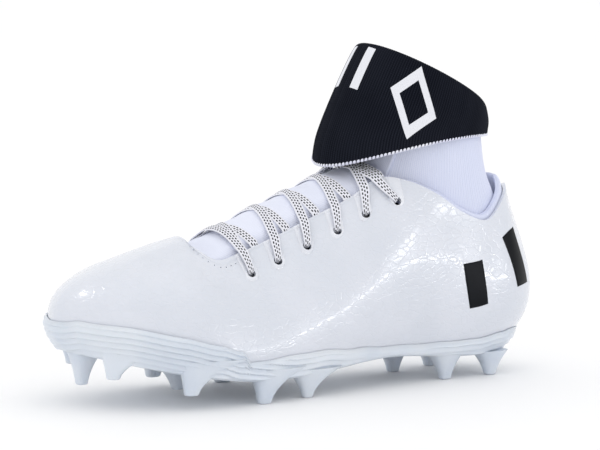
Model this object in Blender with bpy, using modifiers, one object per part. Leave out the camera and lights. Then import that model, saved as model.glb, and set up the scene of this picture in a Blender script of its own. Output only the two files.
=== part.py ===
"""American football cleat, left shoe, empty and unbent, standing on its studs.

Metres, +Z up. X runs from the heel to the toe, +Y is the lateral (outer) side. Every form is worked out
from the driving dimensions below: the upper, plate, lining, tongue and insole all read one table of sections.
"""

import math

import bmesh
import bpy
from mathutils import Matrix, Vector

# Driving dimensions of the last and the sole
LENGTH = 0.295  # what the x columns of every table are shares of; the shoe measures 0.287
BALL_WIDTH = 0.098  # plan width that the section table follows
INSTEP_HEIGHT = 0.097  # top of the glossy upper above the insole level
STUD_HEIGHT = 0.0115  # floor to the underside of the plate at the ball
TOE_SPRING = 0.0215  # rise of the feather line at the toe
ARCH_RISE = 0.0045  # rise of the feather line at the waist

# Walls and clearances
UPPER_WALL = 0.0018
PLATE_WALL = 0.0028
FLANGE_WALL = 0.0016
RIB_HEIGHT = 0.0008  # the raised lines along the side of the plate
GAP = 0.0003
LINING_WALL = 0.0034
SLEEVE_WALL = 0.0020
TONGUE_WALL = 0.0034
INSOLE_WALL = 0.0040
LACE_WIDTH = 0.0052
LACE_THICKNESS = 0.0012
EYELET_DIAMETER = 0.0046

# Ankle sleeve and its turned-down cuff
SLEEVE_HEIGHT = 0.165  # insole level to the front of the fold

# Padded collar
LINING_DROP = 0.0260  # how far it reaches down inside the wall
LINING_RISE = 0.0026  # how far it stands above the wall
HEEL_TAB_RISE = 0.0072  # and how much more behind the heel
HEEL_TAB_ROWS = 1.7  # half its width, in rows of the section table

# The dark lozenge under the arch
INLAY_MIDDLE = 0.305  # of LENGTH
INLAY_LONG = 0.0260
INLAY_WIDE = 0.0160
INLAY_THICKNESS = 0.0006
INLAY_BLUNT = 0.0004  # half the width of its two cut-off points

# How finely the surfaces are divided
COLUMNS_PER_ROW = 2
WALL_STEPS = 7

# One row for each section, from the heel round the lateral side to the toe.
# foot_x, foot_y: where the upper meets the plate.
# top_x, top_y, top_z: its upper edge, or the ridge on the vamp.
# x follows LENGTH, y follows BALL_WIDTH and z follows INSTEP_HEIGHT.
# top_turn and foot_turn are degrees: how steeply the wall leaves the top, how far it leans out at the foot.
# top_pull and foot_pull are shares of the section's own span: how far those directions hold.
COLUMNS = ("foot_x", "foot_y", "top_x", "top_y", "top_z", "top_turn", "top_pull", "foot_turn", "foot_pull")
LATERAL = (
    (0.054, 0.000, 0.050, 0.000, 0.850, 76, 0.40, 56, 0.46),
    (0.061, 0.092, 0.055, 0.095, 0.872, 76, 0.40, 54, 0.46),
    (0.081, 0.176, 0.070, 0.182, 0.900, 77, 0.40, 50, 0.45),
    (0.114, 0.244, 0.094, 0.285, 0.850, 80, 0.38, 42, 0.42),
    (0.166, 0.286, 0.142, 0.338, 0.727, 84, 0.36, 34, 0.40),
    (0.237, 0.303, 0.198, 0.350, 0.775, 86, 0.34, 28, 0.38),
    (0.305, 0.315, 0.250, 0.338, 0.880, 80, 0.32, 27, 0.36),
    (0.366, 0.333, 0.305, 0.306, 0.962, 70, 0.30, 26, 0.36),
    (0.417, 0.355, 0.362, 0.256, 0.988, 60, 0.30, 26, 0.36),
    (0.468, 0.378, 0.419, 0.232, 0.886, 56, 0.33, 26, 0.36),
    (0.522, 0.403, 0.492, 0.218, 0.799, 54, 0.34, 26, 0.34),
    (0.576, 0.429, 0.566, 0.221, 0.715, 52, 0.34, 26, 0.33),
    (0.631, 0.449, 0.642, 0.216, 0.637, 48, 0.34, 26, 0.33),
    (0.678, 0.455, 0.695, 0.232, 0.606, 46, 0.34, 26, 0.34),
    (0.722, 0.449, 0.724, 0.150, 0.668, 32, 0.38, 27, 0.36),
    (0.763, 0.429, 0.725, -0.012, 0.712, 2, 0.48, 28, 0.38),
    (0.803, 0.393, 0.765, -0.025, 0.680, 0, 0.52, 30, 0.42),
    (0.839, 0.346, 0.801, -0.035, 0.650, 0, 0.54, 33, 0.46),
    (0.871, 0.286, 0.833, -0.045, 0.620, 0, 0.55, 37, 0.48),
    (0.897, 0.215, 0.860, -0.050, 0.594, 0, 0.55, 41, 0.50),
    (0.918, 0.132, 0.882, -0.055, 0.570, 0, 0.55, 45, 0.51),
    (0.933, 0.036, 0.899, -0.058, 0.550, 0, 0.55, 48, 0.52),
    (0.939, -0.062, 0.909, -0.062, 0.536, 0, 0.55, 49, 0.52),
)
# The medial side, heel to toe, without the heel and toe rows that both sides share.
MEDIAL = (
    (0.061, -0.092, 0.055, -0.095, 0.872, 76, 0.40, 54, 0.46),
    (0.081, -0.174, 0.070, -0.182, 0.900, 77, 0.40, 50, 0.45),
    (0.114, -0.238, 0.094, -0.281, 0.850, 80, 0.38, 42, 0.42),
    (0.166, -0.273, 0.142, -0.330, 0.737, 84, 0.36, 34, 0.40),
    (0.237, -0.274, 0.198, -0.340, 0.785, 86, 0.34, 31, 0.38),
    (0.305, -0.266, 0.250, -0.328, 0.886, 80, 0.32, 32, 0.38),
    (0.366, -0.266, 0.305, -0.296, 0.963, 70, 0.30, 32, 0.38),
    (0.417, -0.283, 0.362, -0.248, 0.988, 60, 0.30, 32, 0.37),
    (0.468, -0.312, 0.419, -0.231, 0.886, 57, 0.32, 31, 0.36),
    (0.522, -0.345, 0.492, -0.223, 0.805, 53, 0.34, 30, 0.35),
    (0.576, -0.378, 0.566, -0.233, 0.724, 50, 0.35, 29, 0.34),
    (0.631, -0.406, 0.642, -0.229, 0.646, 46, 0.35, 28, 0.34),
    (0.678, -0.424, 0.695, -0.242, 0.615, 43, 0.35, 27, 0.34),
    (0.722, -0.434, 0.724, -0.168, 0.672, 30, 0.38, 27, 0.35),
    (0.763, -0.436, 0.725, -0.012, 0.712, 2, 0.48, 27, 0.36),
    (0.803, -0.430, 0.765, -0.025, 0.680, 0, 0.52, 28, 0.38),
    (0.839, -0.410, 0.801, -0.035, 0.650, 0, 0.54, 30, 0.42),
    (0.871, -0.370, 0.833, -0.045, 0.620, 0, 0.55, 34, 0.45),
    (0.897, -0.314, 0.860, -0.050, 0.594, 0, 0.55, 38, 0.48),
    (0.918, -0.240, 0.882, -0.055, 0.570, 0, 0.55, 42, 0.50),
    (0.933, -0.155, 0.899, -0.058, 0.550, 0, 0.55, 46, 0.51),
)
SECTIONS = [dict(zip(COLUMNS, row)) for row in LATERAL + tuple(reversed(MEDIAL))]
TOE_ROW = len(LATERAL) - 1  # the last lateral row lies on the toe's middle line
THROAT_ROW = 15  # the throat ends here and the vamp's ridge starts
RIDGE_EASE = 1.2  # rows on each side of the throat over which the wall takes up the slope of the ridge
COLLAR_ROW = 8  # the collar ends here and the throat starts


def blend_rows(rows, place, cyclic=False):
    """Catmull-Rom through rows of equal named columns; place counts rows."""
    count = len(rows)
    first = math.floor(place)
    if not cyclic:
        first = max(0, min(count - 2, first))
    share = place - first
    weights = (
        -0.5 * share**3 + share**2 - 0.5 * share,
        1.5 * share**3 - 2.5 * share**2 + 1,
        -1.5 * share**3 + 2 * share**2 + 0.5 * share,
        0.5 * share**3 - 0.5 * share**2,
    )
    if cyclic:
        picked = [rows[(first + step) % count] for step in (-1, 0, 1, 2)]
    else:
        picked = [rows[max(0, min(count - 1, first + step))] for step in (-1, 0, 1, 2)]
    return {name: sum(w * row[name] for w, row in zip(weights, picked)) for name in rows[0]}


def eased(value, start, end):
    """0 before start, 1 after end, smooth between."""
    share = max(0.0, min(1.0, (value - start) / (end - start)))
    return share * share * (3 - 2 * share)


def sole_level(x):
    """Height of the upper's lower edge at x, above the floor."""
    share = x / LENGTH
    toe = eased(share, 0.60, 1.36) / eased(1.0, 0.60, 1.36)
    arch = math.exp(-(((share - 0.36) / 0.13) ** 2))
    heel = 0.12 * eased(0.10 - share, 0.0, 0.10)
    return STUD_HEIGHT + PLATE_WALL + GAP + TOE_SPRING * (toe + heel) + ARCH_RISE * arch


# How far the plate's flange climbs over the upper, and how strong its ribs are, from heel to toe.
# x follows LENGTH, rise follows INSTEP_HEIGHT, ribs follows RIB_HEIGHT.
FLANGE_COLUMNS = ("x", "rise", "ribs")
FLANGE = [
    dict(zip(FLANGE_COLUMNS, row))
    for row in (
        (0.055, 0.085, 0.2),
        (0.095, 0.105, 0.5),
        (0.115, 0.092, 0.9),
        (0.165, 0.068, 0.9),
        (0.235, 0.054, 0.5),
        (0.300, 0.036, 0.0),
        (0.370, 0.034, 0.0),
        (0.440, 0.062, 0.2),
        (0.520, 0.098, 0.6),
        (0.590, 0.101, 0.9),
        (0.655, 0.082, 1.0),
        (0.678, 0.076, 1.0),
        (0.696, 0.130, 1.0),
        (0.740, 0.154, 1.0),
        (0.800, 0.172, 1.0),
        (0.870, 0.180, 1.0),
        (0.926, 0.165, 0.8),
        (0.940, 0.140, 0.6),
    )
]
RIB_COUNT = 4

# One row for each stud. x follows LENGTH and y follows BALL_WIDTH: the middle of its tip.
# tip is its clearance from the floor, as a share of TOE_SPRING. long and wide follow STUD_TIP.
# front, back, out and inner follow STUD_HEIGHT: how far it flares where it meets the plate.
# lift follows STUD_HEIGHT too: how far up the side of the plate its root runs. turn is degrees in plan.
STUD_TIP = 0.0062
STUD_SIDES = 12
STUD_FLARE_POWER = 1.9  # higher keeps the stud slim until it meets the plate
STUD_TAPER = 0.15  # sideways slope of its flanks
STUD_SQUARENESS = 0.72  # 1 is an ellipse, lower is squarer
STUD_COLUMNS = ("x", "y", "tip", "long", "wide", "front", "back", "out", "inner", "lift", "turn")
STUDS = [
    dict(zip(STUD_COLUMNS, row))
    for row in (
        (0.116, 0.245, 0.00, 1.00, 0.90, 0.45, 0.40, 0.30, 0.40, 0.16, 0),
        (0.215, 0.245, 0.00, 1.00, 0.90, 0.50, 0.45, 0.30, 0.40, 0.16, 0),
        (0.147, -0.200, 0.00, 1.00, 0.90, 0.45, 0.40, 0.30, 0.35, 0.16, 0),
        (0.244, -0.130, 0.00, 1.00, 0.90, 0.50, 0.45, 0.30, 0.35, 0.16, 0),
        (0.539, 0.375, 0.00, 0.85, 0.80, 0.65, 1.30, 0.35, 0.40, 0.30, -6),
        (0.639, 0.425, 0.00, 1.15, 0.95, 0.20, 1.60, 0.22, 0.40, 0.55, -4),
        (0.785, 0.412, 0.36, 1.20, 1.00, 0.12, 2.15, 0.06, 0.45, 0.70, -17),
        (0.902, 0.212, 0.76, 1.10, 0.90, 0.12, 1.75, 0.05, 0.40, 0.50, -45),
        (0.915, -0.050, 0.50, 0.95, 0.90, 0.20, 0.60, 0.30, 0.30, 0.20, 0),
        (0.898, -0.240, 0.88, 0.90, 0.85, 0.15, 1.20, 0.12, 0.35, 0.45, 32),
        (0.702, -0.392, 0.24, 1.20, 1.00, 0.12, 1.90, 0.10, 0.45, 0.60, 6),
        (0.570, -0.325, 0.00, 1.40, 1.00, 0.25, 1.70, 0.15, 0.40, 0.45, -4),
        (0.722, -0.040, 0.16, 0.95, 0.90, 0.50, 0.80, 0.35, 0.35, 0.16, 0),
    )
]

# One row for each ring of the ankle sleeve and its cuff, from the bottom up and over the fold.
# back_x and front_x follow LENGTH; back_z and front_z follow SLEEVE_HEIGHT, from the insole level;
# half follows BALL_WIDTH: half the ring's width. egg draws the front in.
# seat is how closely the ring follows the collar instead, and rise, of SLEEVE_HEIGHT, is its height above it.
# side, of SLEEVE_HEIGHT, lifts the ring's two sides.
RING_COLUMNS = ("back_x", "back_z", "front_x", "front_z", "half", "egg", "seat", "rise", "side")
SLEEVE_RINGS = [
    dict(zip(RING_COLUMNS, row))
    for row in (
        (0.092, 0.350, 0.350, 0.530, 0.280, 0.10, 1.00, -0.075, 0.000),
        (0.094, 0.470, 0.350, 0.590, 0.290, 0.10, 1.00, 0.000, 0.000),
        (0.096, 0.560, 0.350, 0.650, 0.305, 0.08, 0.55, 0.050, 0.000),
        (0.104, 0.640, 0.348, 0.715, 0.318, 0.06, 0.12, 0.090, 0.000),
        (0.110, 0.700, 0.340, 0.810, 0.318, 0.04, 0.00, 0.000, 0.000),
        (0.110, 0.735, 0.325, 0.930, 0.312, 0.04, 0.00, 0.000, 0.000),
    )
]
CUFF_RINGS = [
    dict(zip(RING_COLUMNS, row))
    for row in (
        (0.108, 0.762, 0.320, 0.975, 0.312, 0.04, 0.00, 0.000, 0.000),
        (0.103, 0.772, 0.326, 0.990, 0.320, 0.04, 0.00, 0.000, 0.000),
        (0.096, 0.758, 0.340, 0.975, 0.336, 0.04, 0.00, 0.000, 0.000),
        (0.090, 0.728, 0.380, 0.850, 0.352, 0.04, 0.00, 0.000, 0.000),
        (0.091, 0.700, 0.418, 0.700, 0.366, 0.04, 0.00, 0.000, 0.026),
        (0.093, 0.685, 0.428, 0.612, 0.372, 0.04, 0.00, 0.000, 0.040),
    )
]
RING_POINTS = 32
FRONT_SWEEP = 48.0  # degrees each side of the middle that cross the throat instead of following the wall
SLEEVE_FRONT_ROW = 7.68
HEEL_SLACK = 0.0080  # the sleeve stands this far off the lining behind the heel

# Lacing: eyelets along the throat, from the toe end up, counted in section rows.
EYELET_ROWS = (12.02, 11.24, 10.40, 9.54, 8.68, 7.58)
EYELET_DROP = 0.0132  # below the throat's edge, along the wall
TONGUE_CROWN = 0.0095  # the arch of the tongue above the throat's edges
COLLAR_CROWN = 0.63  # the share of it that is left at the collar
TUCK_CLEARANCE = 0.0008  # from the wall's inner face to the tongue where it is tucked under
LACE_LIFT = 0.0016  # the lace's middle above its bed
LACE_CROWN = 0.0012  # how much more the bed rises over the middle of the tongue
BED_EDGE = 0.62  # across the laces' run: the tongue inside it, the wall outside it
LACE_START = 0.96  # across the throat: where a strand leaves its eyelet, on top of the wall
LACE_END = 0.60  # and where it dives under the opposite edge
LACE_OVER = 0.50  # how far, in thicknesses, the upper strand of a crossing bows out
LACE_UNDER = 0.05  # the same for the lower strand
LACE_ADVANCE = 0.38  # in rows: a strand dives this far before its next eyelet
TOP_LEAD = 0.5  # under 1, the last strands climb sooner
TOP_CROSSING_ROW = 8.55  # where the last strands meet, under the cuff
LACE_DIVE = 0.02  # how far its end dips, in thicknesses

COLLAR_DEPTH = UPPER_WALL + LINING_WALL + SLEEVE_WALL / 2 + 3 * GAP  # upper's face to the sleeve's middle
FLOOR_TO_INSOLE = STUD_HEIGHT + PLATE_WALL + GAP
SIDES = 2 * TOE_ROW  # the sections make one closed round: lateral 0 to TOE_ROW, then medial back to 0
CENTRE_SHARE = 0.90  # the middle line of the plate stops this far from its ends


def mirrored(place):
    """The lateral row that lies at the same length as this place."""
    place %= SIDES
    return place if place <= TOE_ROW else SIDES - place


def section(place):
    """The section's values at any place round the outline; on the vamp both sides share one ridge."""
    found = blend_rows(SECTIONS, place, cyclic=True)
    row = mirrored(place)
    if row > THROAT_ROW:
        ridge = blend_rows([SECTIONS[index] for index in range(THROAT_ROW, TOE_ROW + 1)], row - THROAT_ROW)
        for name in ("top_x", "top_y", "top_z"):
            found[name] = ridge[name]
    return found


def foot_point(place):
    found = section(place)
    x = found["foot_x"] * LENGTH
    return Vector((x, found["foot_y"] * BALL_WIDTH, sole_level(x)))


def top_point(place):
    found = section(place)
    height = FLOOR_TO_INSOLE + found["top_z"] * INSTEP_HEIGHT
    return Vector((found["top_x"] * LENGTH, found["top_y"] * BALL_WIDTH, height))


def plan_outward(place):
    """The outline's outward direction in plan."""
    step = 0.05
    along = foot_point(place + step) - foot_point(place - step)
    return Vector((-along.y, along.x, 0.0)).normalized()


def ridge_slope(row):
    step = 0.2
    low = top_point(min(TOE_ROW, row + step))
    high = top_point(max(THROAT_ROW, row - step))
    return (low.z - high.z) / (low.x - high.x)


WALLS = {}


def wall_ends(place):
    """The four control points of the wall's curve at one place."""
    place %= SIDES
    if place not in WALLS:
        found = section(place)
        foot = foot_point(place)
        top = top_point(place)
        row = mirrored(place)
        outward = plan_outward(place)
        chord = Vector((foot.x - top.x, foot.y - top.y, 0.0)).normalized()
        share = eased(row, COLLAR_ROW, THROAT_ROW)
        top_out = (outward * (1 - share) + chord * share).normalized()
        turn = math.radians(found["top_turn"])
        lean = math.radians(found["foot_turn"])
        from_top = top_out * math.cos(turn) - Vector((0, 0, math.sin(turn)))
        if row > THROAT_ROW - RIDGE_EASE:
            ridge_share = eased(row, THROAT_ROW - RIDGE_EASE, THROAT_ROW + RIDGE_EASE)
            from_top.z += ridge_slope(max(row, THROAT_ROW)) * top_out.x * ridge_share
        from_foot = outward * math.sin(lean) + Vector((0, 0, math.cos(lean)))
        span = (top - foot).length
        WALLS[place] = (
            foot,
            foot + from_foot * found["foot_pull"] * span,
            top + from_top.normalized() * found["top_pull"] * span,
            top,
        )
    return WALLS[place]


def wall_point(place, t):
    """A point of the upper's outer face: t is 0 at the plate and 1 at the top."""
    a, b, c, d = wall_ends(place)
    s = 1 - t
    return a * s**3 + b * (3 * s * s * t) + c * (3 * s * t * t) + d * t**3


def wall_normal(place, t):
    step = 0.02
    upward = wall_point(place, min(1.0, t + step)) - wall_point(place, max(0.0, t - step))
    along = wall_point(place + step, t) - wall_point(place - step, t)
    return upward.cross(along).normalized()


def wall_offset(place, t, out):
    """A point off the upper's outer face, outward when out is positive."""
    return wall_point(place, t) + wall_normal(place, t) * out


def wall_share(place, height):
    """Where on the wall the height above the floor is reached, looked for in its lower part."""
    low, high = 0.0, 0.55
    for _ in range(24):
        middle = (low + high) / 2
        if wall_point(place, middle).z < height:
            low = middle
        else:
            high = middle
    return (low + high) / 2


def curve_value(table, x, name):
    """Straight-line reading of a table whose first column is x, eased between rows."""
    rows = table
    if x <= rows[0]["x"]:
        return rows[0][name]
    for before, after in zip(rows, rows[1:]):
        if x <= after["x"]:
            share = eased(x, before["x"], after["x"])
            return before[name] + (after[name] - before[name]) * share
    return rows[-1][name]


def centre_point(place, height):
    """The middle line under this place, at a height above the floor."""
    heel = foot_point(0)
    toe = foot_point(TOE_ROW)
    middle = (heel.x + toe.x) / 2
    row = mirrored(place)
    lateral = foot_point(row)
    medial = foot_point(SIDES - row)
    x = middle + ((lateral.x + medial.x) / 2 - middle) * CENTRE_SHARE
    return Vector((x, (lateral.y + medial.y) / 2, height))


def middle_of_outline():
    """What moves the middle of the shoe's plan to the origin."""
    spots = []
    for place in outline_places():
        spots += plate_profile(place)
        spots += [wall_point(place, step / WALL_STEPS) for step in range(WALL_STEPS + 1)]
    low_x, high_x = min(spot.x for spot in spots), max(spot.x for spot in spots)
    low_y, high_y = min(spot.y for spot in spots), max(spot.y for spot in spots)
    return Vector((-(low_x + high_x) / 2, -(low_y + high_y) / 2, 0.0))


def material(name, colour, roughness, metallic=0.0):
    found = bpy.data.materials.new(name)
    found.use_nodes = True
    shader = found.node_tree.nodes["Principled BSDF"]
    shader.inputs["Base Color"].default_value = (*colour, 1.0)
    shader.inputs["Roughness"].default_value = roughness
    shader.inputs["Metallic"].default_value = metallic
    found.diffuse_color = (*colour, 1.0)
    return found


def mesh_object(name, points, faces, collection, finish):
    """An object from points in the shoe's own frame, with touching points merged and faces pointing out."""
    mesh = bpy.data.meshes.new(name)
    mesh.from_pydata([tuple(point + ORIGIN) for point in points], [], faces)
    shape = bmesh.new()
    shape.from_mesh(mesh)
    bmesh.ops.remove_doubles(shape, verts=shape.verts, dist=0.000002)
    bmesh.ops.dissolve_degenerate(shape, edges=shape.edges, dist=0.0000005)
    shape.to_mesh(mesh)
    shape.free()
    if finish:
        mesh.materials.append(finish)
    mesh.shade_smooth()
    mesh.set_sharp_from_angle(angle=math.radians(38))
    piece = bpy.data.objects.new(name, mesh)
    collection.objects.link(piece)
    return piece


def facing_out(piece):
    shape = bmesh.new()
    shape.from_mesh(piece.data)
    bmesh.ops.recalc_face_normals(shape, faces=shape.faces)
    shape.to_mesh(piece.data)
    shape.free()
    return piece


def grid_faces(rows, columns, close_rows=False, close_columns=False, flip=False):
    """Quads of a grid stored row by row."""
    faces = []
    for row in range(rows if close_rows else rows - 1):
        for column in range(columns if close_columns else columns - 1):
            after_row = (row + 1) % rows
            after = (column + 1) % columns
            here, there = row * columns, after_row * columns
            quad = (here + column, here + after, there + after, there + column)
            faces.append(tuple(reversed(quad)) if flip else quad)
    return faces


def lofted(name, rings, collection, finish, close_rings=False):
    """A closed solid through rings of equal counts, each ring a closed loop, capped at both ends."""
    count = len(rings[0])
    points = [point for ring in rings for point in ring]
    faces = grid_faces(len(rings), count, close_rows=close_rings, close_columns=True)
    if not close_rings:
        faces.append(tuple(range(count)))
        faces.append(tuple(reversed(range((len(rings) - 1) * count, len(rings) * count))))
    return facing_out(mesh_object(name, points, faces, collection, finish))


def add_modifier(piece, kind, **values):
    modifier = piece.modifiers.new(kind.title(), kind)
    for name, value in values.items():
        setattr(modifier, name, value)
    return modifier


def cut(piece, cutter):
    cutter.hide_render = True
    cutter.display_type = "WIRE"
    add_modifier(piece, "BOOLEAN", operation="DIFFERENCE", solver="EXACT", object=cutter)


def join(piece, other):
    other.hide_render = True
    other.display_type = "WIRE"
    add_modifier(piece, "BOOLEAN", operation="UNION", solver="EXACT", object=other)


def outline_places():
    return [index / COLUMNS_PER_ROW for index in range(SIDES * COLUMNS_PER_ROW)]


def make_upper(parts, cutters, finish):
    """The glossy shell: one wall round the foot, open at the collar, the throat and underneath."""
    places = outline_places()
    points = [wall_point(place, step / WALL_STEPS) for place in places for step in range(WALL_STEPS + 1)]
    faces = grid_faces(len(places), WALL_STEPS + 1, close_rows=True)
    shell = mesh_object("upper", points, faces, parts, finish)
    add_modifier(shell, "SOLIDIFY", thickness=UPPER_WALL, offset=-1.0, use_even_offset=False, use_rim=True)
    for side in (1, -1):
        for row in EYELET_ROWS:
            cut(shell, eyelet_cutter(side, row, cutters))
    return shell


def eyelet_spot(side, row):
    """Where the lace goes through the wall: the point on the outer face and the way out of it."""
    place = row if side > 0 else SIDES - row
    t = 1.0
    while (wall_point(place, t) - wall_point(place, 1.0)).length < EYELET_DROP:
        t -= 0.002
    return wall_point(place, t), wall_normal(place, t)


def eyelet_cutter(side, row, cutters):
    spot, out = eyelet_spot(side, row)
    across = out.cross(Vector((1, 0, 0))).normalized()
    along = across.cross(out)
    rings = []
    for level in (-2 * UPPER_WALL, 2 * UPPER_WALL):
        ring = []
        for index in range(8):
            angle = math.tau * index / 8
            reach = EYELET_DIAMETER / 2
            ring.append(spot + out * level + (along * math.cos(angle) + across * math.sin(angle)) * reach)
        rings.append(ring)
    return lofted(f"eyelet_cut_{'lateral' if side > 0 else 'medial'}_{row:.2f}", rings, cutters, None)


def flange_top(place):
    foot = foot_point(place)
    rise = curve_value(FLANGE, foot.x / LENGTH, "rise") * INSTEP_HEIGHT
    return foot.z + rise


def plate_profile(place):
    """The plate's outer face at one place: over the flange, down its ribs, and under to the middle."""
    x_share = foot_point(place).x / LENGTH
    ribs = curve_value(FLANGE, x_share, "ribs") * RIB_HEIGHT
    top = wall_share(place, flange_top(place))
    mirror_top = foot_point(mirrored(place)).z + curve_value(FLANGE, x_share, "rise") * INSTEP_HEIGHT
    points = [centre_point(place, mirror_top)]
    steps = 2 * RIB_COUNT
    for step in range(steps + 1):
        share = step / steps
        wall = FLANGE_WALL + (PLATE_WALL - FLANGE_WALL) * share
        wall += ribs * (step % 2)
        points.append(wall_offset(place, top * (1 - share), GAP + wall))
    foot = foot_point(place)
    out = wall_normal(place, 0.0)
    for turn in (0.5, 1.0):
        angle = math.pi / 2 * turn
        way = (out * math.cos(angle) - Vector((0, 0, math.sin(angle)))).normalized()
        points.append(foot + way * (GAP + PLATE_WALL))
    middle = centre_point(place, 0.0)
    for share in (0.45, 1.0):
        spot = foot.lerp(middle, share)
        points.append(Vector((spot.x, spot.y, sole_level(spot.x) - GAP - PLATE_WALL)))
    return points


def foot_space_profile(place):
    """What the plate leaves free for the upper and the foot: the plate's inner face, closed above it."""
    middle = centre_point(place, 0.0)
    foot = foot_point(place)
    points = []
    for share in (1.0, 0.45):
        spot = foot.lerp(middle, share)
        points.append(Vector((spot.x, spot.y, sole_level(spot.x) - GAP)))
    out = wall_normal(place, 0.0)
    for turn in (1.0, 0.5):
        angle = math.pi / 2 * turn
        way = (out * math.cos(angle) - Vector((0, 0, math.sin(angle)))).normalized()
        points.append(foot + way * GAP)
    top = wall_share(place, flange_top(place) + 4 * RIB_HEIGHT + FLANGE_WALL)
    steps = 3
    for step in range(steps + 1):
        points.append(wall_offset(place, top * step / steps, GAP))
    points.append(centre_point(place, foot_point(mirrored(place)).z + FLOOR_TO_INSOLE + 5 * FLANGE_WALL))
    return points


def outline_loft(name, profile, collection, finish):
    places = outline_places()
    profiles = [profile(place) for place in places]
    points = [point for column in profiles for point in column]
    faces = grid_faces(len(places), len(profiles[0]), close_rows=True)
    return facing_out(mesh_object(name, points, faces, collection, finish))


def make_stud(number, row, collection):
    """One stud: a flat tip that flares into the plate, longer behind where it is a blade."""
    x = row["x"] * LENGTH
    y = row["y"] * BALL_WIDTH
    side = 1 if y > 0 else -1
    tip = row["tip"] * TOE_SPRING
    under = sole_level(x) - GAP - PLATE_WALL
    root = under + row["lift"] * STUD_HEIGHT
    turn = Matrix.Rotation(math.radians(row["turn"]), 3, "Z")
    rings = []
    for level in (0.0, 0.35, 0.62, 0.83, 1.0):
        flare = level**STUD_FLARE_POWER
        slope = STUD_TAPER * level
        ring = []
        for index in range(STUD_SIDES):
            angle = math.tau * index / STUD_SIDES
            c = math.copysign(abs(math.cos(angle)) ** STUD_SQUARENESS, math.cos(angle))
            s = math.copysign(abs(math.sin(angle)) ** STUD_SQUARENESS, math.sin(angle))
            ends = row["front"] if c > 0 else row["back"]
            flank = row["out"] if s * side > 0 else row["inner"]
            reach_x = row["long"] * STUD_TIP / 2 + (ends * flare + slope) * STUD_HEIGHT
            reach_y = row["wide"] * STUD_TIP / 2 + (flank * flare + slope) * STUD_HEIGHT
            ring.append(Vector((x, y, 0)) + turn @ Vector((reach_x * c, reach_y * s, 0)))
            ring[-1].z = tip + (root - tip) * level
        rings.append(ring)
    return lofted(f"stud_{number}", rings, collection, None)


def make_outsole(parts, cutters, finish):
    """The moulded plate with its ribbed flange and its studs, hollowed by the space of the foot."""
    plate = outline_loft("outsole", plate_profile, parts, finish)
    for number, row in enumerate(STUDS):
        join(plate, make_stud(number, row, cutters))
    cut(plate, outline_loft("foot_space", foot_space_profile, cutters, None))
    return plate


def make_insole(parts, finish):
    """A flat foam bed inside the wall."""
    places = outline_places()
    loops = []
    for level in (0.0, 1.0):
        ring = []
        for place in places:
            height = level * INSOLE_WALL
            t = wall_share(place, foot_point(place).z + height) if level else 0.0
            level_share = math.hypot(*wall_normal(place, t).xy)
            inset = (UPPER_WALL + 3 * GAP) / level_share
            spot = wall_point(place, t) - plan_outward(place) * inset
            ring.append(Vector((spot.x, spot.y, sole_level(spot.x) + GAP * (1 - level) + height * level)))
        loops.append(ring)
    low, high = loops
    middles = [centre_point(place, 0.0) for place in places]
    middle_low = [Vector((p.x, p.y, sole_level(p.x) + GAP)) for p in middles]
    middle_high = [Vector((p.x, p.y, sole_level(p.x) + INSOLE_WALL)) for p in middle_low]
    points = []
    for index in range(len(places)):
        points += [middle_low[index], low[index], high[index], middle_high[index]]
    faces = grid_faces(len(places), 4, close_rows=True)
    return facing_out(mesh_object("insole", points, faces, parts, finish))


def make_lining(parts, finish):
    """The padded collar: it lines the wall round the ankle and stands a little above it."""
    rings = []
    reach = COLLAR_ROW - 1
    for index in range(-reach * COLUMNS_PER_ROW, reach * COLUMNS_PER_ROW + 1):
        place = index / COLUMNS_PER_ROW
        row = abs(place)
        peak = LINING_RISE + HEEL_TAB_RISE * math.exp(-((row / HEEL_TAB_ROWS) ** 2))
        fade = 1 - eased(row, reach - 1.5, reach)
        rise = peak * (0.3 + 0.7 * fade)
        wall = LINING_WALL * (0.45 + 0.55 * fade)
        near = UPPER_WALL + 1.5 * GAP
        t = 1.0
        while (wall_point(place, t) - wall_point(place, 1.0)).length < LINING_DROP:
            t -= 0.01
        up = (wall_point(place, 1.0) - wall_point(place, 0.94)).normalized()
        out = wall_normal(place, 1.0)
        top = wall_point(place, 1.0)
        ring = [wall_offset(place, level, -near) for level in (t, (1 + t) / 2, 0.985)]
        ring.append(top - out * near + up * (GAP + rise * 0.45))
        ring.append(top - out * (near + wall * 0.25) + up * (GAP + rise * 0.92))
        ring.append(top - out * (near + wall * 0.6) + up * (GAP + rise))
        ring.append(top - out * (near + wall * 0.95) + up * (GAP + rise * 0.55))
        ring.append(wall_offset(place, (1 + t) / 2, -near - wall))
        ring.append(wall_offset(place, t, -near - wall * 0.5))
        rings.append(ring)
    return lofted("collar_lining", rings, parts, finish)


def collar_spot(index, rise):
    """A point of the ring that follows the collar: inside the lining, then over the throat in front."""
    angle = 360.0 * index / RING_POINTS
    side = 1 if angle <= 180 else -1
    turn = angle if side > 0 else 360 - angle
    if turn < FRONT_SWEEP:
        spot = throat_arch(SLEEVE_FRONT_ROW, side * turn / FRONT_SWEEP, COLLAR_DEPTH * turn / FRONT_SWEEP)
        return spot + Vector((0, 0, rise))
    row = SLEEVE_FRONT_ROW * (180 - turn) / (180 - FRONT_SWEEP)
    place = row * side
    depth = COLLAR_DEPTH + HEEL_SLACK * eased(3.5 - row, 0.0, 3.0)
    up = (wall_point(place, 1.0) - wall_point(place, 0.90)).normalized()
    return wall_offset(place, 1.0, -depth) + up * rise


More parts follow.
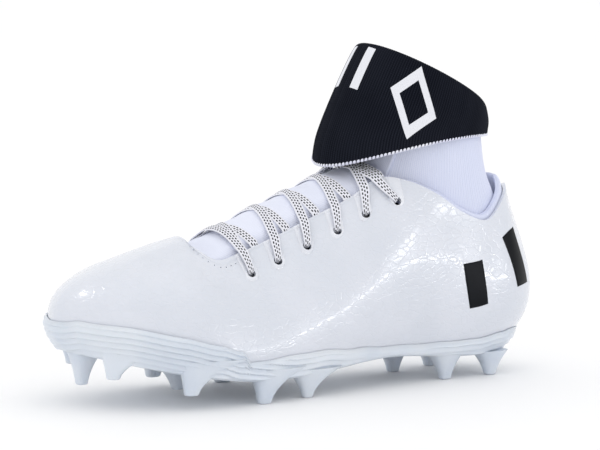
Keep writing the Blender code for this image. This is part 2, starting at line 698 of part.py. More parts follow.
def ring_points(row):
    """One ring of the sleeve: an egg between its back and front points, seated on the collar or free."""
    back = Vector((row["back_x"] * LENGTH, 0, FLOOR_TO_INSOLE + row["back_z"] * SLEEVE_HEIGHT))
    front = Vector((row["front_x"] * LENGTH, 0, FLOOR_TO_INSOLE + row["front_z"] * SLEEVE_HEIGHT))
    middle = (back + front) / 2
    half_long = (front - back) / 2
    ring = []
    for index in range(RING_POINTS):
        angle = math.tau * index / RING_POINTS
        c = math.cos(angle)
        wide = row["half"] * BALL_WIDTH * (1 - row["egg"] * c)
        lift = row["side"] * SLEEVE_HEIGHT * math.sin(angle) ** 2
        spot = middle + half_long * c + Vector((0, wide * math.sin(angle), lift))
        if row["seat"]:
            spot = spot.lerp(collar_spot(index, row["rise"] * SLEEVE_HEIGHT), row["seat"])
        ring.append(spot)
    return ring


def make_sleeve(parts, finish, cuff_finish):
    """The knitted ankle: a sock wall that rises, folds over and hangs down outside itself as the cuff."""
    rings = [ring_points(row) for row in SLEEVE_RINGS + CUFF_RINGS]
    points = [point for ring in rings for point in ring]
    faces = grid_faces(len(rings), RING_POINTS, close_columns=True)
    sleeve = mesh_object("ankle_sleeve", points, faces, parts, finish)
    sleeve.data.materials.append(cuff_finish)
    for face in sleeve.data.polygons:
        face.material_index = 1 if min(face.vertices) // RING_POINTS >= len(SLEEVE_RINGS) - 1 else 0
    add_modifier(sleeve, "SOLIDIFY", thickness=SLEEVE_WALL, offset=0.0, use_even_offset=False, use_rim=True)
    return sleeve


def throat_arch(row, share, depth):
    """Across the throat at one row: share runs from 1 at the lateral edge to -1 at the medial edge."""
    lateral = wall_offset(row, 1.0, -depth)
    medial = wall_offset(SIDES - row, 1.0, -depth)
    spot = medial.lerp(lateral, (share + 1) / 2)
    crown = TONGUE_CROWN * eased(THROAT_ROW - 0.6 - row, 0.0, 3.6)
    crown *= 1 - (1 - COLLAR_CROWN) * eased(COLLAR_ROW + 1 - row, 0.0, 1.0)
    return spot + Vector((0, 0, crown * (1 - share * share)))


def make_tongue(parts, finish):
    """The knitted instep under the laces, tucked below the wall on three sides."""
    tucked = 1 - 1 / WALL_STEPS
    points = []
    rows = [index / COLUMNS_PER_ROW for index in range((THROAT_ROW + 1) * 2, COLLAR_ROW * 2 - 1, -1)]
    shares = (1.0, 0.6, 0.2, -0.2, -0.6, -1.0)
    for row in rows:
        depth = UPPER_WALL + TUCK_CLEARANCE * (1 + 5 * eased(row, THROAT_ROW - 2.5, THROAT_ROW - 0.5))
        points.append(wall_offset(row, tucked, -depth))
        for share in shares:
            if row >= THROAT_ROW:
                side = row if share > 0 else SIDES - row
                points.append(wall_offset(side, 1 - abs(share) / WALL_STEPS / 2, -depth))
            else:
                points.append(throat_arch(row, share, depth))
        points.append(wall_offset(SIDES - row, tucked, -depth))
    faces = grid_faces(len(rows), len(shares) + 2, flip=True)
    tongue = mesh_object("tongue", points, faces, parts, finish)
    add_modifier(tongue, "SOLIDIFY", thickness=TONGUE_WALL, offset=-1.0, use_even_offset=False, use_rim=True)
    return tongue


def lace_bed(row, across):
    """The surface that the laces lie on, from 1 at the lateral eyelets over the tongue to -1."""
    side = 1 if across > 0 else -1
    place = row if side > 0 else SIDES - row
    if abs(across) > BED_EDGE:
        reach = (abs(across) - BED_EDGE) / (1 - BED_EDGE) * EYELET_DROP
        t = 1.0
        while (wall_point(place, t) - wall_point(place, 1.0)).length < reach:
            t -= 0.004
        return wall_point(place, t), wall_normal(place, t)
    share = across / BED_EDGE
    spot = throat_arch(row, share, 0.0)
    lift = LACE_CROWN * (1 - share * share)
    ahead = throat_arch(row, min(1.0, share + 0.05), 0.0)
    behind = throat_arch(row, max(-1.0, share - 0.05), 0.0)
    along = throat_arch(row - 0.1, share, 0.0) - throat_arch(row + 0.1, share, 0.0)
    out = along.cross(ahead - behind).normalized()
    if out.z < 0:
        out = -out
    return spot + out * lift, out


def lace_strip(name, start, end, lift, collection, finish, lead=1.0):
    """A flat lace from one (row, across) spot to another; a lead under 1 moves it along sooner."""
    count = 10
    route = []
    for index in range(count + 1):
        share = index / count
        row = start[0] + (end[0] - start[0]) * share**lead
        across = start[1] + (end[1] - start[1]) * share
        spot, out = lace_bed(row, across)
        raised = lift * math.sin(math.pi * share) - LACE_DIVE * eased(share, 0.75, 1.0)
        route.append((spot + out * (LACE_LIFT + raised * LACE_THICKNESS), out))
    rings = []
    for index, (spot, out) in enumerate(route):
        before = route[max(0, index - 1)][0]
        after = route[min(count, index + 1)][0]
        along = (after - before).normalized()
        flat = along.cross(out).normalized()
        up = flat.cross(along).normalized()
        half = flat * (LACE_WIDTH / 2)
        thick = up * (LACE_THICKNESS / 2)
        rings.append([spot - half - thick, spot + half - thick, spot + half + thick, spot - half + thick])
    return lofted(name, rings, collection, finish)


def make_laces(parts, cutters, finish):
    """One solid for each crossing; the toe's bar and the strands under the cuff join the ones they touch."""
    knots = []
    for number, (low, high) in enumerate(zip(EYELET_ROWS, EYELET_ROWS[1:])):
        start = LACE_START if number else LACE_END
        dive = high + LACE_ADVANCE
        over = ((low, start), (dive, -LACE_END), LACE_OVER)
        under = ((low, -start), (dive, LACE_END), LACE_UNDER)
        knots.append([(over, 1.0), (under, 1.0)])
    low = EYELET_ROWS[0]
    knots[0].append((((low, LACE_START), (low, -LACE_START), LACE_OVER), 1.0))
    top = EYELET_ROWS[-1]
    knots[-1].append((((top, LACE_START), (TOP_CROSSING_ROW, -0.1), LACE_OVER), TOP_LEAD))
    knots[-1].append((((top, -LACE_START), (TOP_CROSSING_ROW, 0.1), LACE_UNDER), TOP_LEAD))
    for number, strands in enumerate(knots, start=1):
        first = None
        for turn, ((start, end, lift), lead) in enumerate(strands):
            name = f"lace_{number}" if turn == 0 else f"strand_{number}_{turn}"
            where = cutters if turn else parts
            strand = lace_strip(name, start, end, lift, where, None if turn else finish, lead)
            if turn:
                join(first, strand)
            else:
                first = strand


def make_arch_inlay(parts, finish):
    """A thin dark lozenge let in under the arch."""
    rings = []
    for share in (-1.0, -0.75, -0.5, -0.25, 0.0, 0.25, 0.5, 0.75, 1.0):
        x = INLAY_MIDDLE * LENGTH + INLAY_LONG / 2 * share
        wide = INLAY_BLUNT + (INLAY_WIDE / 2 - INLAY_BLUNT) * (1 - abs(share))
        top = sole_level(x) - PLATE_WALL - 2 * GAP
        low = top - INLAY_THICKNESS
        rings.append([Vector((x, y, z)) for y, z in ((-wide, top), (wide, top), (wide, low), (-wide, low))])
    return lofted("arch_inlay", rings, parts, finish)


def build():
    for found in list(bpy.data.objects):
        bpy.data.objects.remove(found, do_unlink=True)
    parts = bpy.data.collections.new("football_cleat")
    cutters = bpy.data.collections.new("cutters")
    for collection in (parts, cutters):
        bpy.context.scene.collection.children.link(collection)
    glossy = material("glossy_skin", (0.80, 0.82, 0.88), 0.16)
    plate = material("moulded_plate", (0.72, 0.78, 0.86), 0.30)
    lilac = material("lilac_knit", (0.66, 0.68, 0.85), 0.85)
    black = material("black_knit", (0.02, 0.02, 0.03), 0.90)
    lace = material("lace_weave", (0.85, 0.86, 0.92), 0.80)
    foam = material("insole_cloth", (0.10, 0.10, 0.12), 0.90)
    inlay = material("dark_inlay", (0.02, 0.02, 0.02), 0.40)
    make_upper(parts, cutters, glossy)
    make_outsole(parts, cutters, plate)
    make_insole(parts, foam)
    make_lining(parts, lilac)
    make_sleeve(parts, lilac, black)
    make_tongue(parts, lilac)
    make_laces(parts, cutters, lace)
    make_arch_inlay(parts, inlay)


ORIGIN = middle_of_outline()
build()
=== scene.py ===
"""The looks of the american football cleat: finishes, knit, laces, marks, light and camera.

Metres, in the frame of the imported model. The tables and the wall's functions are those of the part's own
source, read here at a finer pitch.
"""

import functools
import math

import bmesh
import bpy
import numpy as np
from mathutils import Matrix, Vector


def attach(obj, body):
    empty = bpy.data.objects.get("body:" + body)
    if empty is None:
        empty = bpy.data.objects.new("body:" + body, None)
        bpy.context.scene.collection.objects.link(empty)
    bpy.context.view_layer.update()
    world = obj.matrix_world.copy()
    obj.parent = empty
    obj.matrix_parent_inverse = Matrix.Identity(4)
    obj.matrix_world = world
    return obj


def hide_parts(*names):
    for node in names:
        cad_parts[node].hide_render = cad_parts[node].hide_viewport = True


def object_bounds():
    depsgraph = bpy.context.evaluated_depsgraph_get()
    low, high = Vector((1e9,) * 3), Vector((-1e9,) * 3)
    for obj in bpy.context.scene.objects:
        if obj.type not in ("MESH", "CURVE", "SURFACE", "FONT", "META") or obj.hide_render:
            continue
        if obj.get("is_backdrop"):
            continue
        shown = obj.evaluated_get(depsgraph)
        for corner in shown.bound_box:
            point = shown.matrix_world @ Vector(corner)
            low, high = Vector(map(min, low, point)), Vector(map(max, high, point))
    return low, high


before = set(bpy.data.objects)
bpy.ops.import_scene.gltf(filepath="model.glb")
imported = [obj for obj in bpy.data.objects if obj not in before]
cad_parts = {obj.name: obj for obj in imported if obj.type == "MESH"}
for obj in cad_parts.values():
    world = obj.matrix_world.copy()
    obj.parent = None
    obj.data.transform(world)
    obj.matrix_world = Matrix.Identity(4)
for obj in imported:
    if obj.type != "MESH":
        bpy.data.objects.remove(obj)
CAD_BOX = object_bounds()

# Driving dimensions of the last and the sole
LENGTH = 0.295  # what the x columns of every table are shares of; the shoe measures 0.287
BALL_WIDTH = 0.098  # plan width that the section table follows
INSTEP_HEIGHT = 0.097  # top of the glossy upper above the insole level
STUD_HEIGHT = 0.0115  # floor to the underside of the plate at the ball
TOE_SPRING = 0.0215  # rise of the feather line at the toe
ARCH_RISE = 0.0045  # rise of the feather line at the waist

# Walls and clearances
UPPER_WALL = 0.0018
PLATE_WALL = 0.0028
FLANGE_WALL = 0.0016
RIB_HEIGHT = 0.0008  # the raised lines along the side of the plate
GAP = 0.0003
LINING_WALL = 0.0034
SLEEVE_WALL = 0.0020
TONGUE_WALL = 0.0034
LACE_WIDTH = 0.0052
LACE_THICKNESS = 0.0012
EYELET_DIAMETER = 0.0046

# Ankle sleeve and its turned-down cuff
SLEEVE_HEIGHT = 0.165  # insole level to the front of the fold

# Padded collar
LINING_DROP = 0.0260  # how far it reaches down inside the wall
LINING_RISE = 0.0026  # how far it stands above the wall
HEEL_TAB_RISE = 0.0072  # and how much more behind the heel
HEEL_TAB_ROWS = 1.7  # half its width, in rows of the section table

# How finely the surfaces are divided
COLUMNS_PER_ROW = 2
WALL_STEPS = 7

# One row for each section, from the heel round the lateral side to the toe.
# foot_x, foot_y: where the upper meets the plate.
# top_x, top_y, top_z: its upper edge, or the ridge on the vamp.
# x follows LENGTH, y follows BALL_WIDTH and z follows INSTEP_HEIGHT.
# top_turn and foot_turn are degrees: how steeply the wall leaves the top, how far it leans out at the foot.
# top_pull and foot_pull are shares of the section's own span: how far those directions hold.
TOP = slice(2, 5)  # the columns that give the upper edge
COLUMNS = ("foot_x", "foot_y", "top_x", "top_y", "top_z", "top_turn", "top_pull", "foot_turn", "foot_pull")
LATERAL = (
    (0.054, 0.000, 0.050, 0.000, 0.850, 76, 0.40, 56, 0.46),
    (0.061, 0.092, 0.055, 0.095, 0.872, 76, 0.40, 54, 0.46),
    (0.081, 0.176, 0.070, 0.182, 0.900, 77, 0.40, 50, 0.45),
    (0.114, 0.244, 0.094, 0.285, 0.850, 80, 0.38, 42, 0.42),
    (0.166, 0.286, 0.142, 0.338, 0.727, 84, 0.36, 34, 0.40),
    (0.237, 0.303, 0.198, 0.350, 0.775, 86, 0.34, 28, 0.38),
    (0.305, 0.315, 0.250, 0.338, 0.880, 80, 0.32, 27, 0.36),
    (0.366, 0.333, 0.305, 0.306, 0.962, 70, 0.30, 26, 0.36),
    (0.417, 0.355, 0.362, 0.256, 0.988, 60, 0.30, 26, 0.36),
    (0.468, 0.378, 0.419, 0.232, 0.886, 56, 0.33, 26, 0.36),
    (0.522, 0.403, 0.492, 0.218, 0.799, 54, 0.34, 26, 0.34),
    (0.576, 0.429, 0.566, 0.221, 0.715, 52, 0.34, 26, 0.33),
    (0.631, 0.449, 0.642, 0.216, 0.637, 48, 0.34, 26, 0.33),
    (0.678, 0.455, 0.695, 0.232, 0.606, 46, 0.34, 26, 0.34),
    (0.722, 0.449, 0.724, 0.150, 0.668, 32, 0.38, 27, 0.36),
    (0.763, 0.429, 0.725, -0.012, 0.712, 2, 0.48, 28, 0.38),
    (0.803, 0.393, 0.765, -0.025, 0.680, 0, 0.52, 30, 0.42),
    (0.839, 0.346, 0.801, -0.035, 0.650, 0, 0.54, 33, 0.46),
    (0.871, 0.286, 0.833, -0.045, 0.620, 0, 0.55, 37, 0.48),
    (0.897, 0.215, 0.860, -0.050, 0.594, 0, 0.55, 41, 0.50),
    (0.918, 0.132, 0.882, -0.055, 0.570, 0, 0.55, 45, 0.51),
    (0.933, 0.036, 0.899, -0.058, 0.550, 0, 0.55, 48, 0.52),
    (0.939, -0.062, 0.909, -0.062, 0.536, 0, 0.55, 49, 0.52),
)
# The medial side, heel to toe, without the heel and toe rows that both sides share.
MEDIAL = (
    (0.061, -0.092, 0.055, -0.095, 0.872, 76, 0.40, 54, 0.46),
    (0.081, -0.174, 0.070, -0.182, 0.900, 77, 0.40, 50, 0.45),
    (0.114, -0.238, 0.094, -0.281, 0.850, 80, 0.38, 42, 0.42),
    (0.166, -0.273, 0.142, -0.330, 0.737, 84, 0.36, 34, 0.40),
    (0.237, -0.274, 0.198, -0.340, 0.785, 86, 0.34, 31, 0.38),
    (0.305, -0.266, 0.250, -0.328, 0.886, 80, 0.32, 32, 0.38),
    (0.366, -0.266, 0.305, -0.296, 0.963, 70, 0.30, 32, 0.38),
    (0.417, -0.283, 0.362, -0.248, 0.988, 60, 0.30, 32, 0.37),
    (0.468, -0.312, 0.419, -0.231, 0.886, 57, 0.32, 31, 0.36),
    (0.522, -0.345, 0.492, -0.223, 0.805, 53, 0.34, 30, 0.35),
    (0.576, -0.378, 0.566, -0.233, 0.724, 50, 0.35, 29, 0.34),
    (0.631, -0.406, 0.642, -0.229, 0.646, 46, 0.35, 28, 0.34),
    (0.678, -0.424, 0.695, -0.242, 0.615, 43, 0.35, 27, 0.34),
    (0.722, -0.434, 0.724, -0.168, 0.672, 30, 0.38, 27, 0.35),
    (0.763, -0.436, 0.725, -0.012, 0.712, 2, 0.48, 27, 0.36),
    (0.803, -0.430, 0.765, -0.025, 0.680, 0, 0.52, 28, 0.38),
    (0.839, -0.410, 0.801, -0.035, 0.650, 0, 0.54, 30, 0.42),
    (0.871, -0.370, 0.833, -0.045, 0.620, 0, 0.55, 34, 0.45),
    (0.897, -0.314, 0.860, -0.050, 0.594, 0, 0.55, 38, 0.48),
    (0.918, -0.240, 0.882, -0.055, 0.570, 0, 0.55, 42, 0.50),
    (0.933, -0.155, 0.899, -0.058, 0.550, 0, 0.55, 46, 0.51),
)
SECTIONS = np.array(LATERAL + MEDIAL[::-1])
TOE_ROW = len(LATERAL) - 1  # the last lateral row lies on the toe's middle line
THROAT_ROW = 15  # the throat ends here and the vamp's ridge starts
RIDGE_EASE = 1.2  # rows on each side of the throat over which the wall takes up the slope of the ridge
COLLAR_ROW = 8  # the collar ends here and the throat starts


def spline_at(rows, place, cyclic=False):
    """Catmull-Rom through rows of numbers; place counts rows."""
    count = len(rows)
    first = math.floor(place)
    if not cyclic:
        first = max(0, min(count - 2, first))
    share = place - first
    weights = (
        -0.5 * share**3 + share**2 - 0.5 * share,
        1.5 * share**3 - 2.5 * share**2 + 1,
        -1.5 * share**3 + 2 * share**2 + 0.5 * share,
        0.5 * share**3 - 0.5 * share**2,
    )
    near = [first + step if cyclic else max(0, min(count - 1, first + step)) for step in (-1, 0, 1, 2)]
    return sum(weight * rows[index % count] for weight, index in zip(weights, near))


def eased(value, start, end):
    """0 before start, 1 after end, smooth between."""
    share = max(0.0, min(1.0, (value - start) / (end - start)))
    return share * share * (3 - 2 * share)


def swelling(value, *steps):
    """0 before the first step, 1 between the second and the third, 0 again after the fourth."""
    return eased(value, *steps[:2]) * (1 - eased(value, *steps[2:]))


def table(columns, *rows):
    return [dict(zip(columns.split(), row)) for row in rows]


def sole_level(x):
    """Height of the upper's lower edge at x, above the floor."""
    share = x / LENGTH
    toe = eased(share, 0.60, 1.36) / eased(1.0, 0.60, 1.36)
    arch = math.exp(-(((share - 0.36) / 0.13) ** 2))
    heel = 0.12 * eased(0.10 - share, 0.0, 0.10)
    return STUD_HEIGHT + PLATE_WALL + GAP + TOE_SPRING * (toe + heel) + ARCH_RISE * arch


# How far the plate's flange climbs over the upper, and how strong its ribs are, from heel to toe.
# x follows LENGTH, rise follows INSTEP_HEIGHT, ribs follows RIB_HEIGHT.
FLANGE = table(
    "x rise ribs",
    (0.055, 0.085, 0.2),
    (0.095, 0.105, 0.5),
    (0.115, 0.092, 0.9),
    (0.165, 0.068, 0.9),
    (0.235, 0.054, 0.5),
    (0.300, 0.036, 0.0),
    (0.370, 0.034, 0.0),
    (0.440, 0.062, 0.2),
    (0.520, 0.098, 0.6),
    (0.590, 0.101, 0.9),
    (0.655, 0.082, 1.0),
    (0.678, 0.076, 1.0),
    (0.696, 0.130, 1.0),
    (0.740, 0.154, 1.0),
    (0.800, 0.172, 1.0),
    (0.870, 0.180, 1.0),
    (0.926, 0.165, 0.8),
    (0.940, 0.140, 0.6),
)

# One row for each stud. x follows LENGTH and y follows BALL_WIDTH: the middle of its tip.
# tip is its clearance from the floor, as a share of TOE_SPRING. long and wide follow STUD_TIP.
# front, back, out and inner follow STUD_HEIGHT: how far it flares where it meets the plate.
# lift follows STUD_HEIGHT too: how far up the side of the plate its root runs. turn is degrees in plan.
STUD_TIP = 0.0062
STUD_FLARE_POWER = 1.9  # higher keeps the stud slim until it meets the plate
STUD_TAPER = 0.15  # sideways slope of its flanks
STUD_SQUARENESS = 0.72  # 1 is an ellipse, lower is squarer
STUDS = table(
    "x y tip long wide front back out inner lift turn",
    (0.116, 0.245, 0.00, 1.00, 0.90, 0.45, 0.40, 0.30, 0.40, 0.16, 0),
    (0.215, 0.245, 0.00, 1.00, 0.90, 0.50, 0.45, 0.30, 0.40, 0.16, 0),
    (0.147, -0.200, 0.00, 1.00, 0.90, 0.45, 0.40, 0.30, 0.35, 0.16, 0),
    (0.244, -0.130, 0.00, 1.00, 0.90, 0.50, 0.45, 0.30, 0.35, 0.16, 0),
    (0.539, 0.375, 0.00, 0.85, 0.80, 0.65, 1.30, 0.35, 0.40, 0.30, -6),
    (0.639, 0.425, 0.00, 1.15, 0.95, 0.20, 1.60, 0.22, 0.40, 0.55, -4),
    (0.785, 0.412, 0.36, 1.20, 1.00, 0.12, 2.15, 0.06, 0.45, 0.70, -17),
    (0.902, 0.212, 0.76, 1.10, 0.90, 0.12, 1.75, 0.05, 0.40, 0.50, -45),
    (0.915, -0.050, 0.50, 0.95, 0.90, 0.20, 0.60, 0.30, 0.30, 0.20, 0),
    (0.898, -0.240, 0.88, 0.90, 0.85, 0.15, 1.20, 0.12, 0.35, 0.45, 32),
    (0.702, -0.392, 0.24, 1.20, 1.00, 0.12, 1.90, 0.10, 0.45, 0.60, 6),
    (0.570, -0.325, 0.00, 1.40, 1.00, 0.25, 1.70, 0.15, 0.40, 0.45, -4),
    (0.722, -0.040, 0.16, 0.95, 0.90, 0.50, 0.80, 0.35, 0.35, 0.16, 0),
)

# One row for each ring of the ankle sleeve and its cuff, from the bottom up and over the fold.
# back_x and front_x follow LENGTH; back_z and front_z follow SLEEVE_HEIGHT, from the insole level;
# half follows BALL_WIDTH: half the ring's width. egg draws the front in.
# seat is how closely the ring follows the collar instead, and rise, of SLEEVE_HEIGHT, its height above it.
# side, of SLEEVE_HEIGHT, lifts the ring's two sides.
RINGS = table(
    "back_x back_z front_x front_z half egg seat rise side",
    (0.092, 0.350, 0.350, 0.530, 0.280, 0.10, 1.00, -0.075, 0.000),
    (0.094, 0.470, 0.350, 0.590, 0.290, 0.10, 1.00, 0.000, 0.000),
    (0.096, 0.560, 0.350, 0.650, 0.305, 0.08, 0.55, 0.050, 0.000),
    (0.104, 0.640, 0.348, 0.715, 0.318, 0.06, 0.12, 0.090, 0.000),
    (0.110, 0.700, 0.340, 0.810, 0.318, 0.04, 0.00, 0.000, 0.000),
    (0.110, 0.735, 0.325, 0.930, 0.312, 0.04, 0.00, 0.000, 0.000),
    (0.108, 0.762, 0.320, 0.975, 0.312, 0.04, 0.00, 0.000, 0.000),
    (0.103, 0.772, 0.326, 0.990, 0.320, 0.04, 0.00, 0.000, 0.000),
    (0.096, 0.758, 0.340, 0.975, 0.336, 0.04, 0.00, 0.000, 0.000),
    (0.090, 0.728, 0.380, 0.850, 0.352, 0.04, 0.00, 0.000, 0.000),
    (0.091, 0.700, 0.418, 0.700, 0.366, 0.04, 0.00, 0.000, 0.026),
    (0.093, 0.685, 0.428, 0.612, 0.372, 0.04, 0.00, 0.000, 0.040),
)
RING_POINTS = 32
FRONT_SWEEP = 48.0  # degrees each side of the middle that cross the throat instead of following the wall
SLEEVE_FRONT_ROW = 7.68
HEEL_SLACK = 0.0080  # the sleeve stands this far off the lining behind the heel

# Lacing: eyelets along the throat, from the toe end up, counted in section rows.
EYELET_ROWS = (12.02, 11.24, 10.40, 9.54, 8.68, 7.58)
EYELETS = [(side, row) for side in (1, -1) for row in EYELET_ROWS]
EYELET_DROP = 0.0132  # below the throat's edge, along the wall
TONGUE_CROWN = 0.0095  # the arch of the tongue above the throat's edges
COLLAR_CROWN = 0.63  # the share of it that is left at the collar
TUCK_CLEARANCE = 0.0008  # from the wall's inner face to the tongue where it is tucked under
LACE_LIFT = 0.0016  # the lace's middle above its bed
LACE_CROWN = 0.0012  # how much more the bed rises over the middle of the tongue
BED_EDGE = 0.62  # across the laces' run: the tongue inside it, the wall outside it
LACE_START = 0.96  # across the throat: where a strand leaves its eyelet, on top of the wall
LACE_END = 0.60  # and where it dives under the opposite edge
LACE_OVER = 0.50  # how far, in thicknesses, the upper strand of a crossing bows out
LACE_UNDER = 0.05  # the same for the lower strand
LACE_ADVANCE = 0.38  # in rows: a strand dives this far before its next eyelet
TOP_LEAD = 0.5  # under 1, the last strands climb sooner
TOP_CROSSING_ROW = 8.55  # where the last strands meet, under the cuff
LACE_DIVE = 0.02  # how far its end dips, in thicknesses

COLLAR_DEPTH = UPPER_WALL + LINING_WALL + SLEEVE_WALL / 2 + 3 * GAP  # upper's face to the sleeve's middle
FLOOR_TO_INSOLE = STUD_HEIGHT + PLATE_WALL + GAP
SIDES = 2 * TOE_ROW  # the sections make one closed round: lateral 0 to TOE_ROW, then medial back to 0
UP = Vector((0, 0, 1))
CENTRE_SHARE = 0.90  # the middle line of the plate stops this far from its ends


def mirrored(place):
    """The lateral row that lies at the same length as this place."""
    place %= SIDES
    return place if place <= TOE_ROW else SIDES - place


def on_side(row, side):
    """The place of a row on the lateral side, or on the medial side where side is negative."""
    return row if side > 0 else SIDES - row


def section(place):
    """The section's values at any place round the outline; on the vamp both sides share one ridge."""
    found = spline_at(SECTIONS, place, cyclic=True)
    row = mirrored(place)
    if row > THROAT_ROW:
        found[TOP] = spline_at(SECTIONS[THROAT_ROW : TOE_ROW + 1], row - THROAT_ROW)[TOP]
    return dict(zip(COLUMNS, found.tolist()))


def foot_point(place):
    found = section(place)
    x = found["foot_x"] * LENGTH
    return Vector((x, found["foot_y"] * BALL_WIDTH, sole_level(x)))


def top_point(place):
    found = section(place)
    height = FLOOR_TO_INSOLE + found["top_z"] * INSTEP_HEIGHT
    return Vector((found["top_x"] * LENGTH, found["top_y"] * BALL_WIDTH, height))


def plan_outward(place):
    """The outline's outward direction in plan."""
    step = 0.05
    along = foot_point(place + step) - foot_point(place - step)
    return Vector((-along.y, along.x, 0.0)).normalized()


def ridge_slope(row):
    step = 0.2
    low = top_point(min(TOE_ROW, row + step))
    high = top_point(max(THROAT_ROW, row - step))
    return (low.z - high.z) / (low.x - high.x)


@functools.cache
def wall_ends(place):
    """The four control points of the wall's curve at one place."""
    place %= SIDES
    found = section(place)
    foot = foot_point(place)
    top = top_point(place)
    row = mirrored(place)
    outward = plan_outward(place)
    chord = Vector((foot.x - top.x, foot.y - top.y, 0.0)).normalized()
    share = eased(row, COLLAR_ROW, THROAT_ROW)
    top_out = (outward * (1 - share) + chord * share).normalized()
    turn = math.radians(found["top_turn"])
    lean = math.radians(found["foot_turn"])
    from_top = top_out * math.cos(turn) - UP * math.sin(turn)
    if row > THROAT_ROW - RIDGE_EASE:
        ridge_share = eased(row, THROAT_ROW - RIDGE_EASE, THROAT_ROW + RIDGE_EASE)
        from_top.z += ridge_slope(max(row, THROAT_ROW)) * top_out.x * ridge_share
    from_foot = outward * math.sin(lean) + UP * math.cos(lean)
    span = (top - foot).length
    pull = from_top.normalized() * found["top_pull"] * span
    return foot, foot + from_foot * found["foot_pull"] * span, top + pull, top


def wall_point(place, t):
    """A point of the upper's outer face: t is 0 at the plate and 1 at the top."""
    a, b, c, d = wall_ends(place)
    s = 1 - t
    return a * s**3 + b * (3 * s * s * t) + c * (3 * s * t * t) + d * t**3


def wall_normal(place, t):
    step = 0.02
    upward = wall_point(place, min(1.0, t + step)) - wall_point(place, max(0.0, t - step))
    along = wall_point(place + step, t) - wall_point(place - step, t)
    return upward.cross(along).normalized()


def wall_offset(place, t, out):
    """A point off the upper's outer face, outward when out is positive."""
    return wall_point(place, t) + wall_normal(place, t) * out


def wall_share(place, height):
    """Where on the wall the height above the floor is reached, looked for in its lower part."""
    low, high = 0.0, 0.55
    for _ in range(24):
        middle = (low + high) / 2
        if wall_point(place, middle).z < height:
            low = middle
        else:
            high = middle
    return (low + high) / 2


def curve_value(rows, x, name):
    """A column of a table at x, eased between rows."""
    if x <= rows[0]["x"]:
        return rows[0][name]
    for before, after in zip(rows, rows[1:]):
        if x <= after["x"]:
            share = eased(x, before["x"], after["x"])
            return before[name] + (after[name] - before[name]) * share
    return rows[-1][name]


def centre_point(place, height):
    """The middle line under this place, at a height above the floor."""
    heel = foot_point(0)
    toe = foot_point(TOE_ROW)
    middle = (heel.x + toe.x) / 2
    row = mirrored(place)
    lateral = foot_point(row)
    medial = foot_point(SIDES - row)
    x = middle + ((lateral.x + medial.x) / 2 - middle) * CENTRE_SHARE
    return Vector((x, (lateral.y + medial.y) / 2, height))


def grid_faces(rows, columns, close_rows=False, close_columns=False):
    """Quads of a grid stored row by row."""
    faces = []
    for row in range(rows if close_rows else rows - 1):
        here, there = row * columns, (row + 1) % rows * columns
        for column in range(columns if close_columns else columns - 1):
            after = (column + 1) % columns
            faces.append((here + column, here + after, there + after, there + column))
    return faces


def level_below(place, reach, step):
    """The t of the wall at a distance from its top, found in steps."""
    t = 1.0
    while (wall_point(place, t) - wall_point(place, 1.0)).length < reach:
        t -= step
    return t


def eyelet_spot(side, row):
    """Where the lace goes through the wall: the point on the outer face and the way out of it."""
    place = on_side(row, side)
    t = level_below(place, EYELET_DROP, 0.002)
    return wall_point(place, t), wall_normal(place, t)


def flange_top(place):
    foot = foot_point(place)
    rise = curve_value(FLANGE, foot.x / LENGTH, "rise") * INSTEP_HEIGHT
    return foot.z + rise


def collar_spot(index, rise):
    """A point of the ring that follows the collar: inside the lining, then over the throat in front."""
    angle = 360.0 * index / RING_POINTS
    side = 1 if angle <= 180 else -1
    turn = angle if side > 0 else 360 - angle
    if turn < FRONT_SWEEP:
        spot = throat_arch(SLEEVE_FRONT_ROW, side * turn / FRONT_SWEEP, COLLAR_DEPTH * turn / FRONT_SWEEP)
        return spot + UP * rise
    row = SLEEVE_FRONT_ROW * (180 - turn) / (180 - FRONT_SWEEP)
    place = row * side
    depth = COLLAR_DEPTH + HEEL_SLACK * eased(3.5 - row, 0.0, 3.0)
    up = (wall_point(place, 1.0) - wall_point(place, 0.90)).normalized()
    return wall_offset(place, 1.0, -depth) + up * rise


def ring_points(row):
    """One ring of the sleeve: an egg between its back and front points, seated on the collar or free."""
    back = Vector((row["back_x"] * LENGTH, 0, FLOOR_TO_INSOLE + row["back_z"] * SLEEVE_HEIGHT))
    front = Vector((row["front_x"] * LENGTH, 0, FLOOR_TO_INSOLE + row["front_z"] * SLEEVE_HEIGHT))
    middle = (back + front) / 2
    half_long = (front - back) / 2
    ring = []
    for index in range(RING_POINTS):
        angle = math.tau * index / RING_POINTS
        c = math.cos(angle)
        wide = row["half"] * BALL_WIDTH * (1 - row["egg"] * c)
        lift = row["side"] * SLEEVE_HEIGHT * math.sin(angle) ** 2
        spot = middle + half_long * c + Vector((0, wide * math.sin(angle), lift))
        if row["seat"]:
            spot = spot.lerp(collar_spot(index, row["rise"] * SLEEVE_HEIGHT), row["seat"])
        ring.append(spot)
    return ring


def throat_arch(row, share, depth):
    """Across the throat at one row: share runs from 1 at the lateral edge to -1 at the medial edge."""
    lateral = wall_offset(row, 1.0, -depth)
    medial = wall_offset(SIDES - row, 1.0, -depth)
    spot = medial.lerp(lateral, (share + 1) / 2)
    crown = TONGUE_CROWN * eased(THROAT_ROW - 0.6 - row, 0.0, 3.6)
    crown *= 1 - (1 - COLLAR_CROWN) * eased(COLLAR_ROW + 1 - row, 0.0, 1.0)
    return spot + UP * (crown * (1 - share * share))


